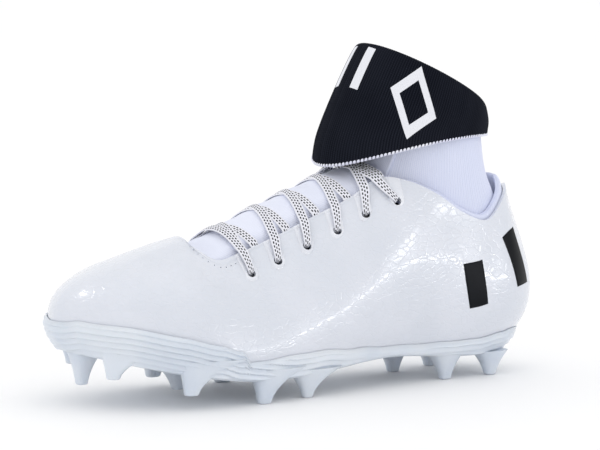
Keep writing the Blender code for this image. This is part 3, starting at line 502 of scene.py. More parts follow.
def lace_bed(row, across):
    """The surface that the laces lie on, from 1 at the lateral eyelets over the tongue to -1."""
    side = 1 if across > 0 else -1
    place = on_side(row, side)
    if abs(across) > BED_EDGE:
        reach = (abs(across) - BED_EDGE) / (1 - BED_EDGE) * EYELET_DROP
        t = level_below(place, reach, 0.004)
        return wall_point(place, t), wall_normal(place, t)
    share = across / BED_EDGE
    spot = throat_arch(row, share, 0.0)
    lift = LACE_CROWN * (1 - share * share)
    ahead = throat_arch(row, min(1.0, share + 0.05), 0.0)
    behind = throat_arch(row, max(-1.0, share - 0.05), 0.0)
    along = throat_arch(row - 0.1, share, 0.0) - throat_arch(row + 0.1, share, 0.0)
    out = along.cross(ahead - behind).normalized()
    if out.z < 0:
        out = -out
    return spot + out * lift, out


ORIGIN = Vector((-0.14367425, -0.0003751386, 0.0))  # what moves the middle of the shoe's plan to the origin
SHIFT = np.array(ORIGIN)


# Meshes from grids of points


def unit(vectors):
    return vectors / np.maximum(np.linalg.norm(vectors, axis=-1, keepdims=True), 1e-12)


def normals_of(grid, round_rows=False, round_columns=False):
    """Unit normals of a grid of points, by differences along its rows and columns."""

    def slopes(axis, closed):
        return np.roll(grid, -1, axis) - np.roll(grid, 1, axis) if closed else np.gradient(grid, axis=axis)

    return unit(np.cross(slopes(1, round_columns), slopes(0, round_rows)))


def placed(name, data):
    """A new object, in the scene."""
    thing = bpy.data.objects.new(name, data)
    bpy.context.scene.collection.objects.link(thing)
    return thing


def new_piece(
    name, points, faces, finishes, slot_name, replaces=(), uv=None, which=None, smooth=38, wraps=False
):
    """A visible piece: its mesh, its finishes, its body and the CAD nodes that it stands for.

    Where flat coordinates wrap round, the quads across the join run on past the last value."""
    mesh = bpy.data.meshes.new(name)
    mesh.from_pydata((np.asarray(points) + SHIFT).tolist(), [], faces)
    if uv is not None:
        corners = np.empty(len(mesh.loops), dtype=np.int64)
        mesh.loops.foreach_get("vertex_index", corners)
        flat = np.array(uv, dtype=np.float64)[corners]
        if wraps:
            quads = flat[:, 1].reshape(-1, 4)
            levels = np.unique(quads)
            turn = levels[-1] + levels[1] - levels[0]
            flat[:, 1] += turn * (quads.max(axis=1, keepdims=True) - quads > turn / 2).ravel()
        mesh.uv_layers.new(name="flat").data.foreach_set("uv", flat.astype(np.float32).ravel())
    for finish in finishes:
        mesh.materials.append(finish)
    if which is not None:
        mesh.polygons.foreach_set("material_index", np.asarray(which, dtype=np.int32))
    mesh.shade_smooth()
    if smooth:
        mesh.set_sharp_from_angle(angle=math.radians(smooth))
    piece = placed(name, mesh)
    if slot_name:
        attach(piece, "root")
        if replaces:
            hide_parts(*replaces)
    return piece


def sheets(rows, columns, spots):
    """Two grids of points, one behind the other: spots(v, u) gives both, for shares v and u of the grid."""
    pairs = [[spots(i / (rows - 1), j / (columns - 1)) for j in range(columns)] for i in range(rows)]
    pairs = np.array(pairs)
    return pairs[:, :, 0], pairs[:, :, 1]


def shell_piece(
    name, front, back, finishes, slot_name, rounds=(False, False), sealed=(), uv=None, back_finish=0, **rest
):
    """A closed skin between two equal grids; rounds says which ways the grids close on themselves.

    No rim is made between two sealed points, because they meet their mirror images.
    """
    near = grid_faces(*front.shape[:2], *rounds)
    step = front.shape[0] * front.shape[1]
    edges = {edge: None for face in near for edge in zip(face, face[1:] + face[:1])}
    far = [tuple(step + corner for corner in reversed(face)) for face in near]
    open_edges = [(a, b) for a, b in edges if (b, a) not in edges and not (a in sealed and b in sealed)]
    rim = [(b, a, a + step, b + step) for a, b in open_edges]
    points = np.concatenate([front.reshape(-1, 3), back.reshape(-1, 3)])
    flat = None if uv is None else np.concatenate([uv.reshape(-1, 2)] * 2)
    which = [0] * len(near) + [back_finish] * (len(far) + len(rim))
    return new_piece(name, points, near + far + rim, finishes, slot_name, uv=flat, which=which, **rest)


def arc_lengths(grid, axis):
    """Distance walked along an axis of a grid or a line, from its first point."""
    steps = np.linalg.norm(np.diff(grid, axis=axis), axis=-1)
    zero = np.zeros_like(np.take(steps, [0], axis=axis))
    return np.concatenate([zero, np.cumsum(steps, axis=axis)], axis=axis)


def combine(piece, others, operation):
    """Cuts closed solids out of a piece, or joins them to it, for good."""
    for other in others:
        modifier = piece.modifiers.new("combine", "BOOLEAN")
        modifier.operation = operation
        modifier.solver = "MANIFOLD"
        modifier.object = other
    graph = bpy.context.evaluated_depsgraph_get()
    graph.update()
    done = bpy.data.meshes.new_from_object(piece.evaluated_get(graph), depsgraph=graph)
    piece.modifiers.clear()
    piece.data = done
    for other in others:
        bpy.data.objects.remove(other, do_unlink=True)


def outward(piece):
    """Joins the points that coincide and turns the faces outward."""
    shape = bmesh.new()
    shape.from_mesh(piece.data)
    bmesh.ops.remove_doubles(shape, verts=shape.verts, dist=0.000002)
    bmesh.ops.recalc_face_normals(shape, faces=shape.faces)
    shape.to_mesh(piece.data)
    shape.free()
    return piece


# Finishes


class Nodes:
    """A short way to write a material's nodes."""

    def __init__(self, name):
        self.material = bpy.data.materials.new(name)
        self.material.use_nodes = True
        self.tree = self.material.node_tree

    def feed(self, socket, value):
        if isinstance(value, bpy.types.NodeSocket):
            self.tree.links.new(value, socket)
        else:
            socket.default_value = (*value, 1.0) if socket.type == "RGBA" else value

    def add(self, kind, outputs=0, inputs=(), **values):
        node = self.tree.nodes.new("ShaderNode" + kind)
        for key, value in values.items():
            setattr(node, key, value)
        for key, value in dict(inputs).items():
            self.feed(node.inputs[key], value)
        return node.outputs[outputs]

    def math(self, operation, *values):
        return self.add("Math", 0, dict(enumerate(values)), operation=operation)

    def vector(self, operation, *values, outputs=0):
        return self.add("VectorMath", outputs, dict(enumerate(values)), operation=operation)

    def times(self, first, *others):
        for other in others:
            first = self.math("MULTIPLY", first, other)
        return first

    def less(self, first, second):
        return self.math("LESS_THAN", first, second)

    def size(self, value):
        return self.math("ABSOLUTE", value)

    def wave(self, value):
        return self.math("SINE", value)

    def ramp(self, value, low, high):
        inputs = {"Value": value, "From Min": low, "From Max": high}
        return self.add("MapRange", 0, inputs, interpolation_type="SMOOTHSTEP")

    def range(self, value, low, high):
        return self.add("MapRange", 0, {"Value": value, "To Min": low, "To Max": high})

    def mix(self, share, first, second):
        return self.add("Mix", 2, {0: share, 6: first, 7: second}, data_type="RGBA")

    def flat(self):
        """The piece's own flat coordinates, in millimetres: along and across."""
        split = self.add("SeparateXYZ", 0, {0: self.add("UVMap", 0, uv_map="flat")}).node
        return split.outputs[0], split.outputs[1]

    def noise(self, scale, detail=3.0):
        place = self.add("TexCoord", "Object")
        inputs = {"Scale": scale, "Detail": detail, "Roughness": 0.55, "Vector": place}
        return self.add("TexNoise", "Fac", inputs)

    def facing_away(self, middle):
        """1 where the surface faces away from an upright line, and 0 where it faces it."""
        away = self.vector("SUBTRACT", self.add("NewGeometry", "Position"), middle)
        level = self.vector("MULTIPLY", away, (1.0, 1.0, 0.0))
        normal = self.add("NewGeometry", "True Normal")
        return self.math("GREATER_THAN", self.vector("DOT_PRODUCT", level, normal, outputs="Value"), 0.0)

    def bump(self, height, distance, strength=1.0, below=None):
        inputs = {"Height": height, "Distance": distance, "Strength": strength}
        if below is not None:
            inputs["Normal"] = below
        return self.add("Bump", 0, inputs)

    def set(self, **values):
        """Sets the shader's inputs, by their names in small letters."""
        sockets = self.tree.nodes["Principled BSDF"].inputs
        named = {socket.name.lower().replace(" ", "_"): socket for socket in sockets}
        for key, value in values.items():
            self.feed(named[key], value)
        return self.material


WHITE_SKIN = (0.655, 0.685, 0.755)
PALE_SKIN = (0.690, 0.715, 0.785)
PLATE_COLOUR = (0.610, 0.665, 0.750)
PLATE_LIGHT = (0.690, 0.735, 0.800)
LILAC = (0.650, 0.690, 0.860)
LILAC_LIGHT = (0.735, 0.765, 0.905)
BLACK = (0.004, 0.005, 0.009)
BLACK_LIGHT = (0.014, 0.016, 0.024)
LACE_WHITE = (0.800, 0.810, 0.900)
MARK_WHITE = (0.80, 0.81, 0.86)


SKIN_DEPTH = {"subsurface_radius": (0.8, 0.9, 1.0), "specular_ior_level": 0.5}


def glossy_finish(name, base, light):
    """A coated skin: clear gloss over a fine net that is pressed into it."""
    n = Nodes(name)
    place = n.add("TexCoord", "Object")
    stretched = n.add("Mapping", 0, {"Vector": place, "Rotation": (0.0, 0.6, 0.0), "Scale": (1.0, 1.0, 1.7)})
    net = n.add("TexVoronoi", "Distance", {"Vector": stretched, "Scale": 190.0}, feature="DISTANCE_TO_EDGE")
    cloud = n.noise(34.0)
    grain = n.noise(2600.0, 2.0)
    low = n.bump(n.ramp(net, 0.0, 0.11), 0.00009, 0.55)
    return n.set(
        base_color=n.mix(n.ramp(cloud, 0.35, 0.70), base, light), roughness=n.range(grain, 0.20, 0.30),
        normal=n.bump(cloud, 0.0010, 0.20, n.bump(grain, 0.00003, 0.35, low)), coat_weight=0.75,
        coat_roughness=0.09, coat_normal=low, subsurface_weight=0.10, subsurface_scale=0.003, **SKIN_DEPTH,
    )


def plate_finish():
    """Moulded plastic: faint flow clouds, fine moulding grain and a soft gloss."""
    n = Nodes("moulded_plate_look")
    grain = n.noise(1500.0)
    return n.set(
        base_color=n.mix(n.ramp(n.noise(28.0, 2.0), 0.35, 0.68), PLATE_COLOUR, PLATE_LIGHT),
        roughness=n.range(grain, 0.22, 0.38), normal=n.bump(grain, 0.00005, 0.4), coat_weight=0.35,
        coat_roughness=0.16, subsurface_weight=0.25, subsurface_scale=0.005, **SKIN_DEPTH,
    )


def knit_finish(name, base, light, wale, course, sheen, marks=None, gloss=0.25, depth=0.00022):
    """A fine knit: wales along the piece, courses across it, and loops where they meet."""
    n = Nodes(name)
    along, across = n.flat()
    column = n.math("DIVIDE", across, wale)
    shifted = n.math("ADD", n.math("DIVIDE", along, course), n.times(n.math("PINGPONG", column, 0.5), 0.9))
    loop = n.wave(n.times(shifted, math.tau))
    rib = n.wave(n.times(column, math.tau))
    height = n.math("MULTIPLY_ADD", n.math("MULTIPLY_ADD", loop, 0.35, n.times(rib, 0.65)), 0.5, 0.5)
    share = n.math("MULTIPLY_ADD", n.noise(26.0), 0.45, n.times(height, 0.55))
    colour = n.mix(n.ramp(share, 0.25, 0.75), base, light)
    if marks:
        colour = n.mix(marks(n, along, across), colour, MARK_WHITE)
    return n.set(
        base_color=colour,
        roughness=0.86,
        normal=n.bump(n.noise(1900.0), 0.00010, 0.5, n.bump(height, depth, 0.8)),
        sheen_weight=sheen, sheen_roughness=0.45, specular_ior_level=gloss,
    )


def cuff_marks(n, along, across):
    """Plain light shapes knitted into the cuff: an open lozenge on each side and a bar towards the front."""
    shapes = []
    for around, down, half_wide, half_tall, stroke, lean in CUFF_LOZENGES:
        y = n.math("SUBTRACT", along, down)
        x = n.math("SUBTRACT", n.math("SUBTRACT", across, around), n.times(y, lean))
        reach = n.math("ADD", n.math("DIVIDE", n.size(x), half_wide), n.math("DIVIDE", n.size(y), half_tall))
        shapes.append(n.times(n.less(reach, 1.0), n.math("GREATER_THAN", reach, stroke)))
    for around, down, half_wide, half_tall in CUFF_BARS:
        x, y = n.math("SUBTRACT", across, around), n.math("SUBTRACT", along, down)
        shapes.append(n.times(n.less(n.size(x), half_wide), n.less(n.size(y), half_tall)))
    found = shapes[0]
    for shape in shapes[1:]:
        found = n.math("MAXIMUM", found, shape)
    return n.times(found, n.facing_away(CUFF_MIDDLE))


def lace_finish():
    """A flat woven lace: a fine herringbone with rows of black dashes."""
    n = Nodes("lace_look")
    along, across = n.flat()
    row = n.math("ADD", n.math("DIVIDE", across, DASH_ROW_PITCH), 8 + 0.5 * (DASH_ROWS % 2))
    off_middle = n.size(n.math("SUBTRACT", n.math("FRACT", row), 0.5))
    inside_row = n.less(off_middle, DASH_ROW_WIDTH / DASH_ROW_PITCH / 2)
    within = n.less(n.size(across), DASH_ROW_PITCH * DASH_ROWS / 2)
    staggered = n.math("ADD", along, n.times(n.math("FLOOR", row), DASH_PITCH * 0.35))
    inside_dash = n.less(n.math("FRACT", n.math("DIVIDE", staggered, DASH_PITCH)), DASH_SHARE)
    weave = n.wave(n.times(n.math("ADD", along, n.math("PINGPONG", across, 0.6)), math.tau / 0.75))
    ridge = n.wave(n.times(across, math.tau / 0.6))
    height = n.math("MULTIPLY_ADD", weave, 0.25, n.math("MULTIPLY_ADD", ridge, 0.25, 0.5))
    thread = n.mix(height, LACE_WHITE, (0.90, 0.905, 0.94))
    return n.set(
        base_color=n.mix(n.times(inside_row, within, inside_dash), thread, BLACK), roughness=0.80,
        normal=n.bump(n.noise(2600.0, 2.0), 0.00006, 0.5, n.bump(height, 0.00018, 0.8)), sheen_weight=0.05,
        sheen_roughness=0.4, specular_ior_level=0.15,
    )


def plain_finish(name, base, light, roughness, scale=900.0, depth=0.00006, sheen=0.0, gloss=0.5):
    n = Nodes(name)
    grain = n.noise(scale)
    return n.set(
        base_color=n.mix(n.ramp(n.noise(40.0, 2.0), 0.3, 0.7), base, light),
        roughness=n.range(grain, roughness * 0.85, min(1, roughness * 1.15)),
        normal=n.bump(grain, depth, 0.5), coat_roughness=0.15, sheen_weight=sheen, specular_ior_level=gloss,
    )


# Sizes that only the looks use
# Marks on the cuff, in millimetres round it from the middle of its front and down it from its inner end
CUFF_MIDDLE = (-0.067, 0.0, 0.0)
CUFF_LOZENGES = ((40.0, 41.0, 14.0, 19.0, 0.62, 0.15), (196.0, 41.0, 14.0, 19.0, 0.62, -0.15))
CUFF_BARS = ((7.0, 38.0, 2.8, 12.0), (229.0, 38.0, 2.8, 12.0))
FINE_COLUMNS = 10  # of the upper, for one row of the section table
SMOOTHING = 90  # rounds
NORMAL_SMOOTHING = 12
FRONT_END = (16.5, 18.5)  # rows over which that smoothing dies away on the vamp
EDGE_STEPS = 16
EDGE_REACH = 0.0080  # the part of the wall below its edge that is divided finely
FACE_STEPS = 34
EDGE_BAND = 0.0030  # the raised strip along the throat's edge
EDGE_BAND_HEIGHT = 0.0004
PINHOLE = 0.0008
PINHOLE_PITCH = 0.0034
PINHOLE_DROP = 0.0046
TAB_WIDTH = 0.0088
TAB_HEIGHT = 0.00055
TAB_BEYOND = 0.0042  # how far the tab runs past its eyelet
# Dashes of the laces, in millimetres
DASH_ROWS = 3
DASH_ROW_PITCH = 1.32
DASH_ROW_WIDTH = 0.70
DASH_PITCH = 2.30
DASH_SHARE = 0.58  # of the pitch, black


@functools.cache
def wall_length(place):
    steps = [wall_point(place, step / 12) for step in range(13)]
    return sum((after - before).length for before, after in zip(steps, steps[1:]))


def wall_levels(place):
    """Where the upper is divided between the plate and its edge: coarser below, finer near the edge."""
    reach = EDGE_REACH / wall_length(place)
    low = [(1 - reach) * step / FACE_STEPS for step in range(FACE_STEPS)]
    return low + [1 - reach * (1 - step / EDGE_STEPS) for step in range(EDGE_STEPS + 1)]


def drop_level(place, drop):
    """The t of the wall at a distance below its edge."""
    return 1 - drop / wall_length(place)


def edge_relief(place, drop):
    """Height of the strip along the throat's edge."""
    row = mirrored(place)
    along = swelling(row, COLLAR_ROW + 0.2, COLLAR_ROW + 0.9, THROAT_ROW - 0.1, THROAT_ROW + 0.5)
    width = EDGE_BAND * (0.55 + 0.45 * eased(row, 11.8, 12.6))
    return EDGE_BAND_HEIGHT * along * (1 - eased(drop, width - 0.0007, width))


def smoothed_vamp(skin, hold):
    """The skin, moved along its normals to run smoothly from the vamp into the throat's sides."""
    for _ in range(SMOOTHING):
        beside = np.roll(skin, 1, axis=0) + np.roll(skin, -1, axis=0)
        middle = skin.copy()
        middle[:, 1:-1] = (skin[:, :-2] + skin[:, 2:] + 2 * beside[:, 1:-1]) / 6
        out = normals_of(skin, round_rows=True)
        skin = skin + ((middle - skin) * out).sum(axis=2, keepdims=True) * out * hold * 0.8
    return skin


def softened(outs, skin):
    """The wall's directions, softened round the throat's front, where they turn sharply."""
    soft = normals_of(skin, round_rows=True)
    soft *= np.where((soft * outs).sum(axis=2, keepdims=True) < 0, -1.0, 1.0)
    for _ in range(NORMAL_SMOOTHING):
        sides = soft.copy()
        sides[:, 1:-1] += soft[:, :-2] + soft[:, 2:]
        soft = unit(sides + np.roll(soft, 1, axis=0) + np.roll(soft, -1, axis=0))
    return soft


def build_upper(finish):
    """The glossy shell with its edge strip, eyelets and pinholes."""
    count = SIDES * FINE_COLUMNS
    places = [index / FINE_COLUMNS for index in range(count)]

    def read(value):
        return np.array([[value(place, t) for t in wall_levels(place)] for place in places])

    def hold(place, t):
        return [swelling(mirrored(place), 11.6, 13.0, *FRONT_END) * swelling(t, 0.12, 0.40, 0.84, 0.975)]

    skin = smoothed_vamp(read(wall_point), read(hold))
    outs = read(wall_normal)
    share = np.array([[[swelling(mirrored(place), 11.6, 12.8, *FRONT_END)]] for place in places])
    outs = unit(outs * (1 - share) + softened(outs, skin) * share)
    relief = read(lambda place, t: [edge_relief(place, (1 - t) * wall_length(place))])
    front, back = skin + outs * relief, skin - outs * UPPER_WALL
    sealed = set()
    for index, place in enumerate(places):
        if mirrored(place) > THROAT_ROW - 0.5 / FINE_COLUMNS:
            sealed.add((index + 1) * front.shape[1] - 1)
            for grid in (front, back):
                grid[index, -1] = grid[-index, -1] = (grid[index, -1] + grid[-index, -1]) / 2
    piece = shell_piece(
        "upper_skin", front, back, [finish], "glossy_skin", (True, False), sealed,
        replaces=("upper",), smooth=50,
    )
    prisms = [eyelet_prism(*eyelet) for eyelet in EYELETS]
    prisms += [prism_points(spot, out, PINHOLE / 2, -0.0009, 0.002, 8) for spot, out in pinhole_spots()]
    combine(outward(piece), [prism_cutter(prisms)], "DIFFERENCE")


def prism_points(spot, out, radius, low, high, sides, up=(1, 0, 0)):
    """Both ends of a prism round a line: one ring of points after the other."""
    along = Vector(up).cross(out).normalized()
    other = out.cross(along).normalized()
    angles = [math.tau * index / sides for index in range(sides)]
    ways = [along * math.cos(angle) + other * math.sin(angle) for angle in angles]
    return [spot + out * level + way * radius for level in (low, high) for way in ways]


def eyelet_prism(side, row):
    spot, out = eyelet_spot(side, row)
    across = (wall_point(on_side(row, side), 1.0) - spot).cross(out).normalized()
    return prism_points(spot, out, EYELET_DIAMETER / 2, -0.004, 0.004, 20, across)


def prism_cutter(prisms):
    """One closed mesh for each prism, all in one object."""
    points, faces = [], []
    for prism in prisms:
        first, sides = len(points), len(prism) // 2
        points += prism
        for index in range(sides):
            after = (index + 1) % sides
            faces.append((first + index, first + after, first + sides + after, first + sides + index))
        faces.append(tuple(first + index for index in reversed(range(sides))))
        faces.append(tuple(first + sides + index for index in range(sides)))
    mesh = bpy.data.meshes.new("cutter")
    mesh.from_pydata((np.array(points) + SHIFT).tolist(), [], faces)
    return outward(placed("cutter", mesh))


def pinhole_spots():
    """Along the front arc of the throat, both sides."""
    for side in (1, -1):
        row = 12.35
        while row < THROAT_ROW - 0.05:
            place = on_side(row, side)
            t = drop_level(place, PINHOLE_DROP)
            yield wall_point(place, t), wall_normal(place, t)
            pace = (wall_point(place + 0.05 * side, t) - wall_point(place, t)).length / 0.05
            row += PINHOLE_PITCH / max(pace, 0.004)


def lace_frame(side, row, drop, aside):
    """A spot of the wall below its edge, moved along it by a distance."""
    place = on_side(row, side)
    t = drop_level(place, drop)
    pace = (wall_point(place + 0.05, t) - wall_point(place - 0.05, t)).length / 0.1
    place += aside / pace
    t = drop_level(place, drop)
    return wall_point(place, t), wall_normal(place, t)


def build_tab(number, side, row, finish):
    """The welded tab between an eyelet and the throat's edge."""
    length = EYELET_DROP + TAB_BEYOND

    def spots(v, u):
        v, u = length * v, 2 * u - 1
        left = length - v
        half = TAB_WIDTH / 2
        if left < half:
            half = math.sqrt(max(0.0, half * half - (half - left) ** 2)) * 0.98 + 0.00008
        spot, out = lace_frame(side, row, v + 0.0002, u * half)
        swell = eased(1 - abs(u), 0.0, 0.22) * eased(min(1.0, left / 0.0012), 0.0, 1.0)
        lift = edge_relief(row, v) - 0.0001 + (TAB_HEIGHT + 0.0001) * swell * (1 - 0.15 * u * u)
        return spot + out * lift, spot - out * 0.0004

    front, back = sheets(34, 17, spots)
    if side < 0:
        front, back = front[:, ::-1], back[:, ::-1]
    piece = shell_piece(f"eyelet_tab_{number}", front, back, [finish], "glossy_skin")
    combine(outward(piece), [prism_cutter([eyelet_prism(side, row)])], "DIFFERENCE")


# The plate and its studs
PLATE_RIBS = 7
RIB_STEPS = 8  # for one rib
FLANGE_STEPS = PLATE_RIBS * RIB_STEPS
RIB_PITCH = 0.0027
RIB_LINE = ((0.590, 0.101), (0.650, 0.122), (0.700, 0.133))  # of x: where the ribs start from, past the kink
SOLE_COLUMNS = 8  # for one row of the section table
PLATE_SMOOTH = 32  # degrees
STUD_SIDES = 48
STUD_LEVELS = 22
STUD_EDGE = {-2: (0.0009, 0.0), -1: (0.0003, 0.0002), 0: (0.0, 0.0008)}  # how far in and how high


def rib_shape(share):
    """One rib, growing slowly downward and stepping back sharply below."""
    return eased(share, 0.0, 0.70) * (1 - eased(share, 0.78, 0.98))


def rib_start(place, x_share):
    """The height that the ribs are counted down from: the flange's top, without its kink."""
    rise = curve_value(FLANGE, x_share, "rise")
    for (low, first), (high, last) in zip(RIB_LINE, RIB_LINE[1:]):
        if low <= x_share < high:
            rise = first + (last - first) * (x_share - low) / (high - low)
    return foot_point(place).z + rise * INSTEP_HEIGHT + 0.0004


def fine_plate_profile(place):
    """The plate's outer face: over the flange and its ribs, round the edge and under to the middle."""
    x_share = foot_point(place).x / LENGTH
    strength = curve_value(FLANGE, x_share, "ribs")
    ribs = strength * RIB_HEIGHT * 1.15
    edge = 0.08 + 0.42 * strength
    fade = 0.08 + 0.50 * (1 - strength)
    top = wall_share(place, flange_top(place))
    points = [wall_offset(place, top, GAP)]
    for step in range(FLANGE_STEPS + 1):
        share = step / FLANGE_STEPS
        wall = FLANGE_WALL + (PLATE_WALL - FLANGE_WALL) * share
        wall *= edge + (1 - edge) * eased(share, 0.0, fade)
        spot = wall_point(place, top * (1 - share))
        phase = ((rib_start(place, x_share) - spot.z) / RIB_PITCH) % 1.0
        wall += ribs * rib_shape(phase) * eased(share, 0.02, 0.2)
        points.append(wall_offset(place, top * (1 - share), GAP + wall))
    foot = foot_point(place)
    middle = centre_point(place, 0.0)
    out = wall_normal(place, 0.0)

    def edge_point(turn, reach):
        angle = math.pi / 2 * turn
        return foot + (out * math.cos(angle) - UP * math.sin(angle)).normalized() * reach

    def under_point(share, drop):
        spot = foot.lerp(middle, share)
        return Vector((spot.x, spot.y, sole_level(spot.x) - drop))

    points += [edge_point(turn, GAP + PLATE_WALL) for turn in (0.25, 0.5, 0.75, 1.0)]
    points += [under_point(share, GAP + PLATE_WALL) for share in (0.06, 0.15, 0.3, 0.5, 0.75, 1.0)]
    points += [under_point(share, GAP) for share in (1.0, 0.6, 0.3, 0.1)]
    points += [edge_point(turn, GAP) for turn in (1.0, 0.5)]
    return points + [wall_offset(place, top * share, GAP) for share in (0.0, 0.33, 0.66)]


def squared(value, power):
    """A sine or cosine bent towards its ends, which turns an ellipse into a rounder rectangle."""
    return math.copysign(abs(value) ** power, value)


def fine_stud(row):
    """One stud: a flat tip with a rounded edge that flares into the plate, and a blade's longer back."""
    x = row["x"] * LENGTH
    y = row["y"] * BALL_WIDTH
    side = 1 if y > 0 else -1
    tip = row["tip"] * TOE_SPRING
    root = sole_level(x) - GAP - PLATE_WALL + row["lift"] * STUD_HEIGHT
    turn = math.radians(row["turn"])
    rings = []
    for step in range(-2, STUD_LEVELS + 1):
        level = max(0, step) / STUD_LEVELS
        flare = level**STUD_FLARE_POWER
        slope = STUD_TAPER * level
        shrink, rise = STUD_EDGE.get(step, (0.0, (root - tip) * level))
        for index in range(STUD_SIDES):
            angle = math.tau * index / STUD_SIDES
            c, s = squared(math.cos(angle), STUD_SQUARENESS), squared(math.sin(angle), STUD_SQUARENESS)
            ends = row["front"] if c > 0 else row["back"]
            flank = row["out"] if s * side > 0 else row["inner"]
            dx = c * (row["long"] * STUD_TIP / 2 + (ends * flare + slope) * STUD_HEIGHT - shrink)
            dy = s * (row["wide"] * STUD_TIP / 2 + (flank * flare + slope) * STUD_HEIGHT - shrink)
            px = x + dx * math.cos(turn) - dy * math.sin(turn)
            py = y + dx * math.sin(turn) + dy * math.cos(turn)
            rings.append((px, py, tip + rise))
    count = len(rings)
    faces = grid_faces(count // STUD_SIDES, STUD_SIDES, False, True)
    faces += [tuple(reversed(range(STUD_SIDES))), tuple(range(count - STUD_SIDES, count))]
    return outward(new_piece("stud", rings, faces, [], None, smooth=0))


def build_plate(finish):
    """The moulded plate, a closed skin with its studs joined on."""
    places = [index / SOLE_COLUMNS for index in range(SIDES * SOLE_COLUMNS)]
    grid = np.array([fine_plate_profile(place) for place in places])
    rows, columns = grid.shape[:2]
    seam = 1 + FLANGE_STEPS + 4 + 6  # the ring's last point under the plate: no faces run on from it
    faces = grid_faces(rows, columns, True, True)
    faces = [face for index, face in enumerate(faces) if index % columns != seam]
    plate = new_piece(
        "sole_plate", grid.reshape(-1, 3), faces, [finish], "moulded_plate",
        replaces=("outsole",), smooth=PLATE_SMOOTH,
    )
    combine(outward(plate), [fine_stud(row) for row in STUDS], "UNION")
    plate.data.shade_smooth()
    plate.data.set_sharp_from_angle(angle=math.radians(PLATE_SMOOTH))


# Knitted pieces
SLEEVE_RIB_HEIGHT = 0.00004
CUFF_RIB_HEIGHT = 0.00014
CUFF_FROM = 4.4  # ring of the sleeve where the black knit starts, inside the fold


def fine_rings(count, places):
    """The sleeve's rings at more points round and at any places between the tabled rings."""
    global RING_POINTS
    kept = RING_POINTS
    RING_POINTS = count
    base = np.array([ring_points(row) for row in RINGS])
    RING_POINTS = kept
    return np.array([spline_at(base, place) for place in places])


def flat_map(grid):
    """Millimetres along the rows' direction and round the columns'."""
    down = arc_lengths(grid, 0) * 1000
    around = arc_lengths(grid, 1) * 1000
    mean = around.mean(axis=0, keepdims=True)
    return np.stack([down, np.broadcast_to(mean, down.shape)], axis=2)


def knit_tube(name, rows, columns, ribs, fade, lining, finishes, slot_name):
    """A tube of the sleeve's rings between two places, with upright ribs on its face."""
    middle = fine_rings(columns, rows)
    out = normals_of(middle, round_columns=True)
    rib = np.cos(np.arange(columns) / columns * math.tau * ribs)[None, :, None] * fade
    front, back = middle + out * (SLEEVE_WALL / 2 + rib), middle - out * (SLEEVE_WALL / 2 - lining(rib))
    outward(shell_piece(
        name, front, back, finishes, slot_name, (False, True),
        uv=flat_map(middle), back_finish=len(finishes) - 1,
        replaces=("ankle_sleeve",), smooth=0, wraps=True,
    ))
    return middle


def build_sleeve(lilac, black):
    """The lilac knit ankle and its black cuff; gives the cuff's rings."""
    rows = np.linspace(0.0, CUFF_FROM + 0.1, 46)
    both = [lilac, black]
    knit_tube("sleeve_knit", rows, 700, 175, SLEEVE_RIB_HEIGHT, lambda rib: 0.0001, both, "lilac_knit")
    last = len(RINGS) - 1
    runs = [np.linspace(*run)[:-1] for run in ((CUFF_FROM, 6.0, 10), (6.0, 8.0, 16))]
    rows = np.hstack([*runs, np.linspace(8.0, last, 34)])
    fade = np.array([1.0 - 0.85 * eased(row, last - 0.25, last) for row in rows])
    fade = fade[:, None, None] * CUFF_RIB_HEIGHT
    depth = lambda rib: 0.0002 - rib * 0.5
    return knit_tube("cuff_knit", rows, 680, 170, fade, depth, [black], "black_knit")


HEM_LOOPS = 132
HEM_SIDES = 10
HEM_RADIUS = 0.00062


def build_hem(edge, above, finish):
    """The overlock stitch round the cuff's lower edge: one small bead for each loop of thread."""
    count = HEM_LOOPS * HEM_SIDES
    closed, closed_above = (np.vstack([ring, ring[:1]]) for ring in (edge, above))
    walked = arc_lengths(closed, 0)
    wanted = np.arange(count) / count * walked[-1]
    line, upper = (np.stack([np.interp(wanted, walked, ring[:, k]) for k in range(3)], axis=1)
                   for ring in (closed, closed_above))
    down = unit(line - upper)
    side = np.cross(unit(np.roll(line, -1, 0) - np.roll(line, 1, 0)), down)
    swell = np.abs(np.sin(math.pi * (np.arange(count) % 10) / 10)) ** 0.7
    radius = HEM_RADIUS * (0.45 + 0.75 * swell)[:, None]
    grid = np.stack([
        line - down * 0.0004 + radius * (down * 1.35 * math.cos(angle) + side * 1.75 * math.sin(angle))
        for angle in (math.tau * k / HEM_SIDES for k in range(HEM_SIDES))
    ], axis=1)
    uv = np.stack([np.repeat(wanted * 1000, HEM_SIDES), np.tile(np.arange(HEM_SIDES) * 0.4, count)], axis=1)
    faces = grid_faces(count, HEM_SIDES, True, True)
    outward(new_piece("cuff_hem", grid.reshape(-1, 3), faces, [finish], "lilac_knit", uv=uv, smooth=0))


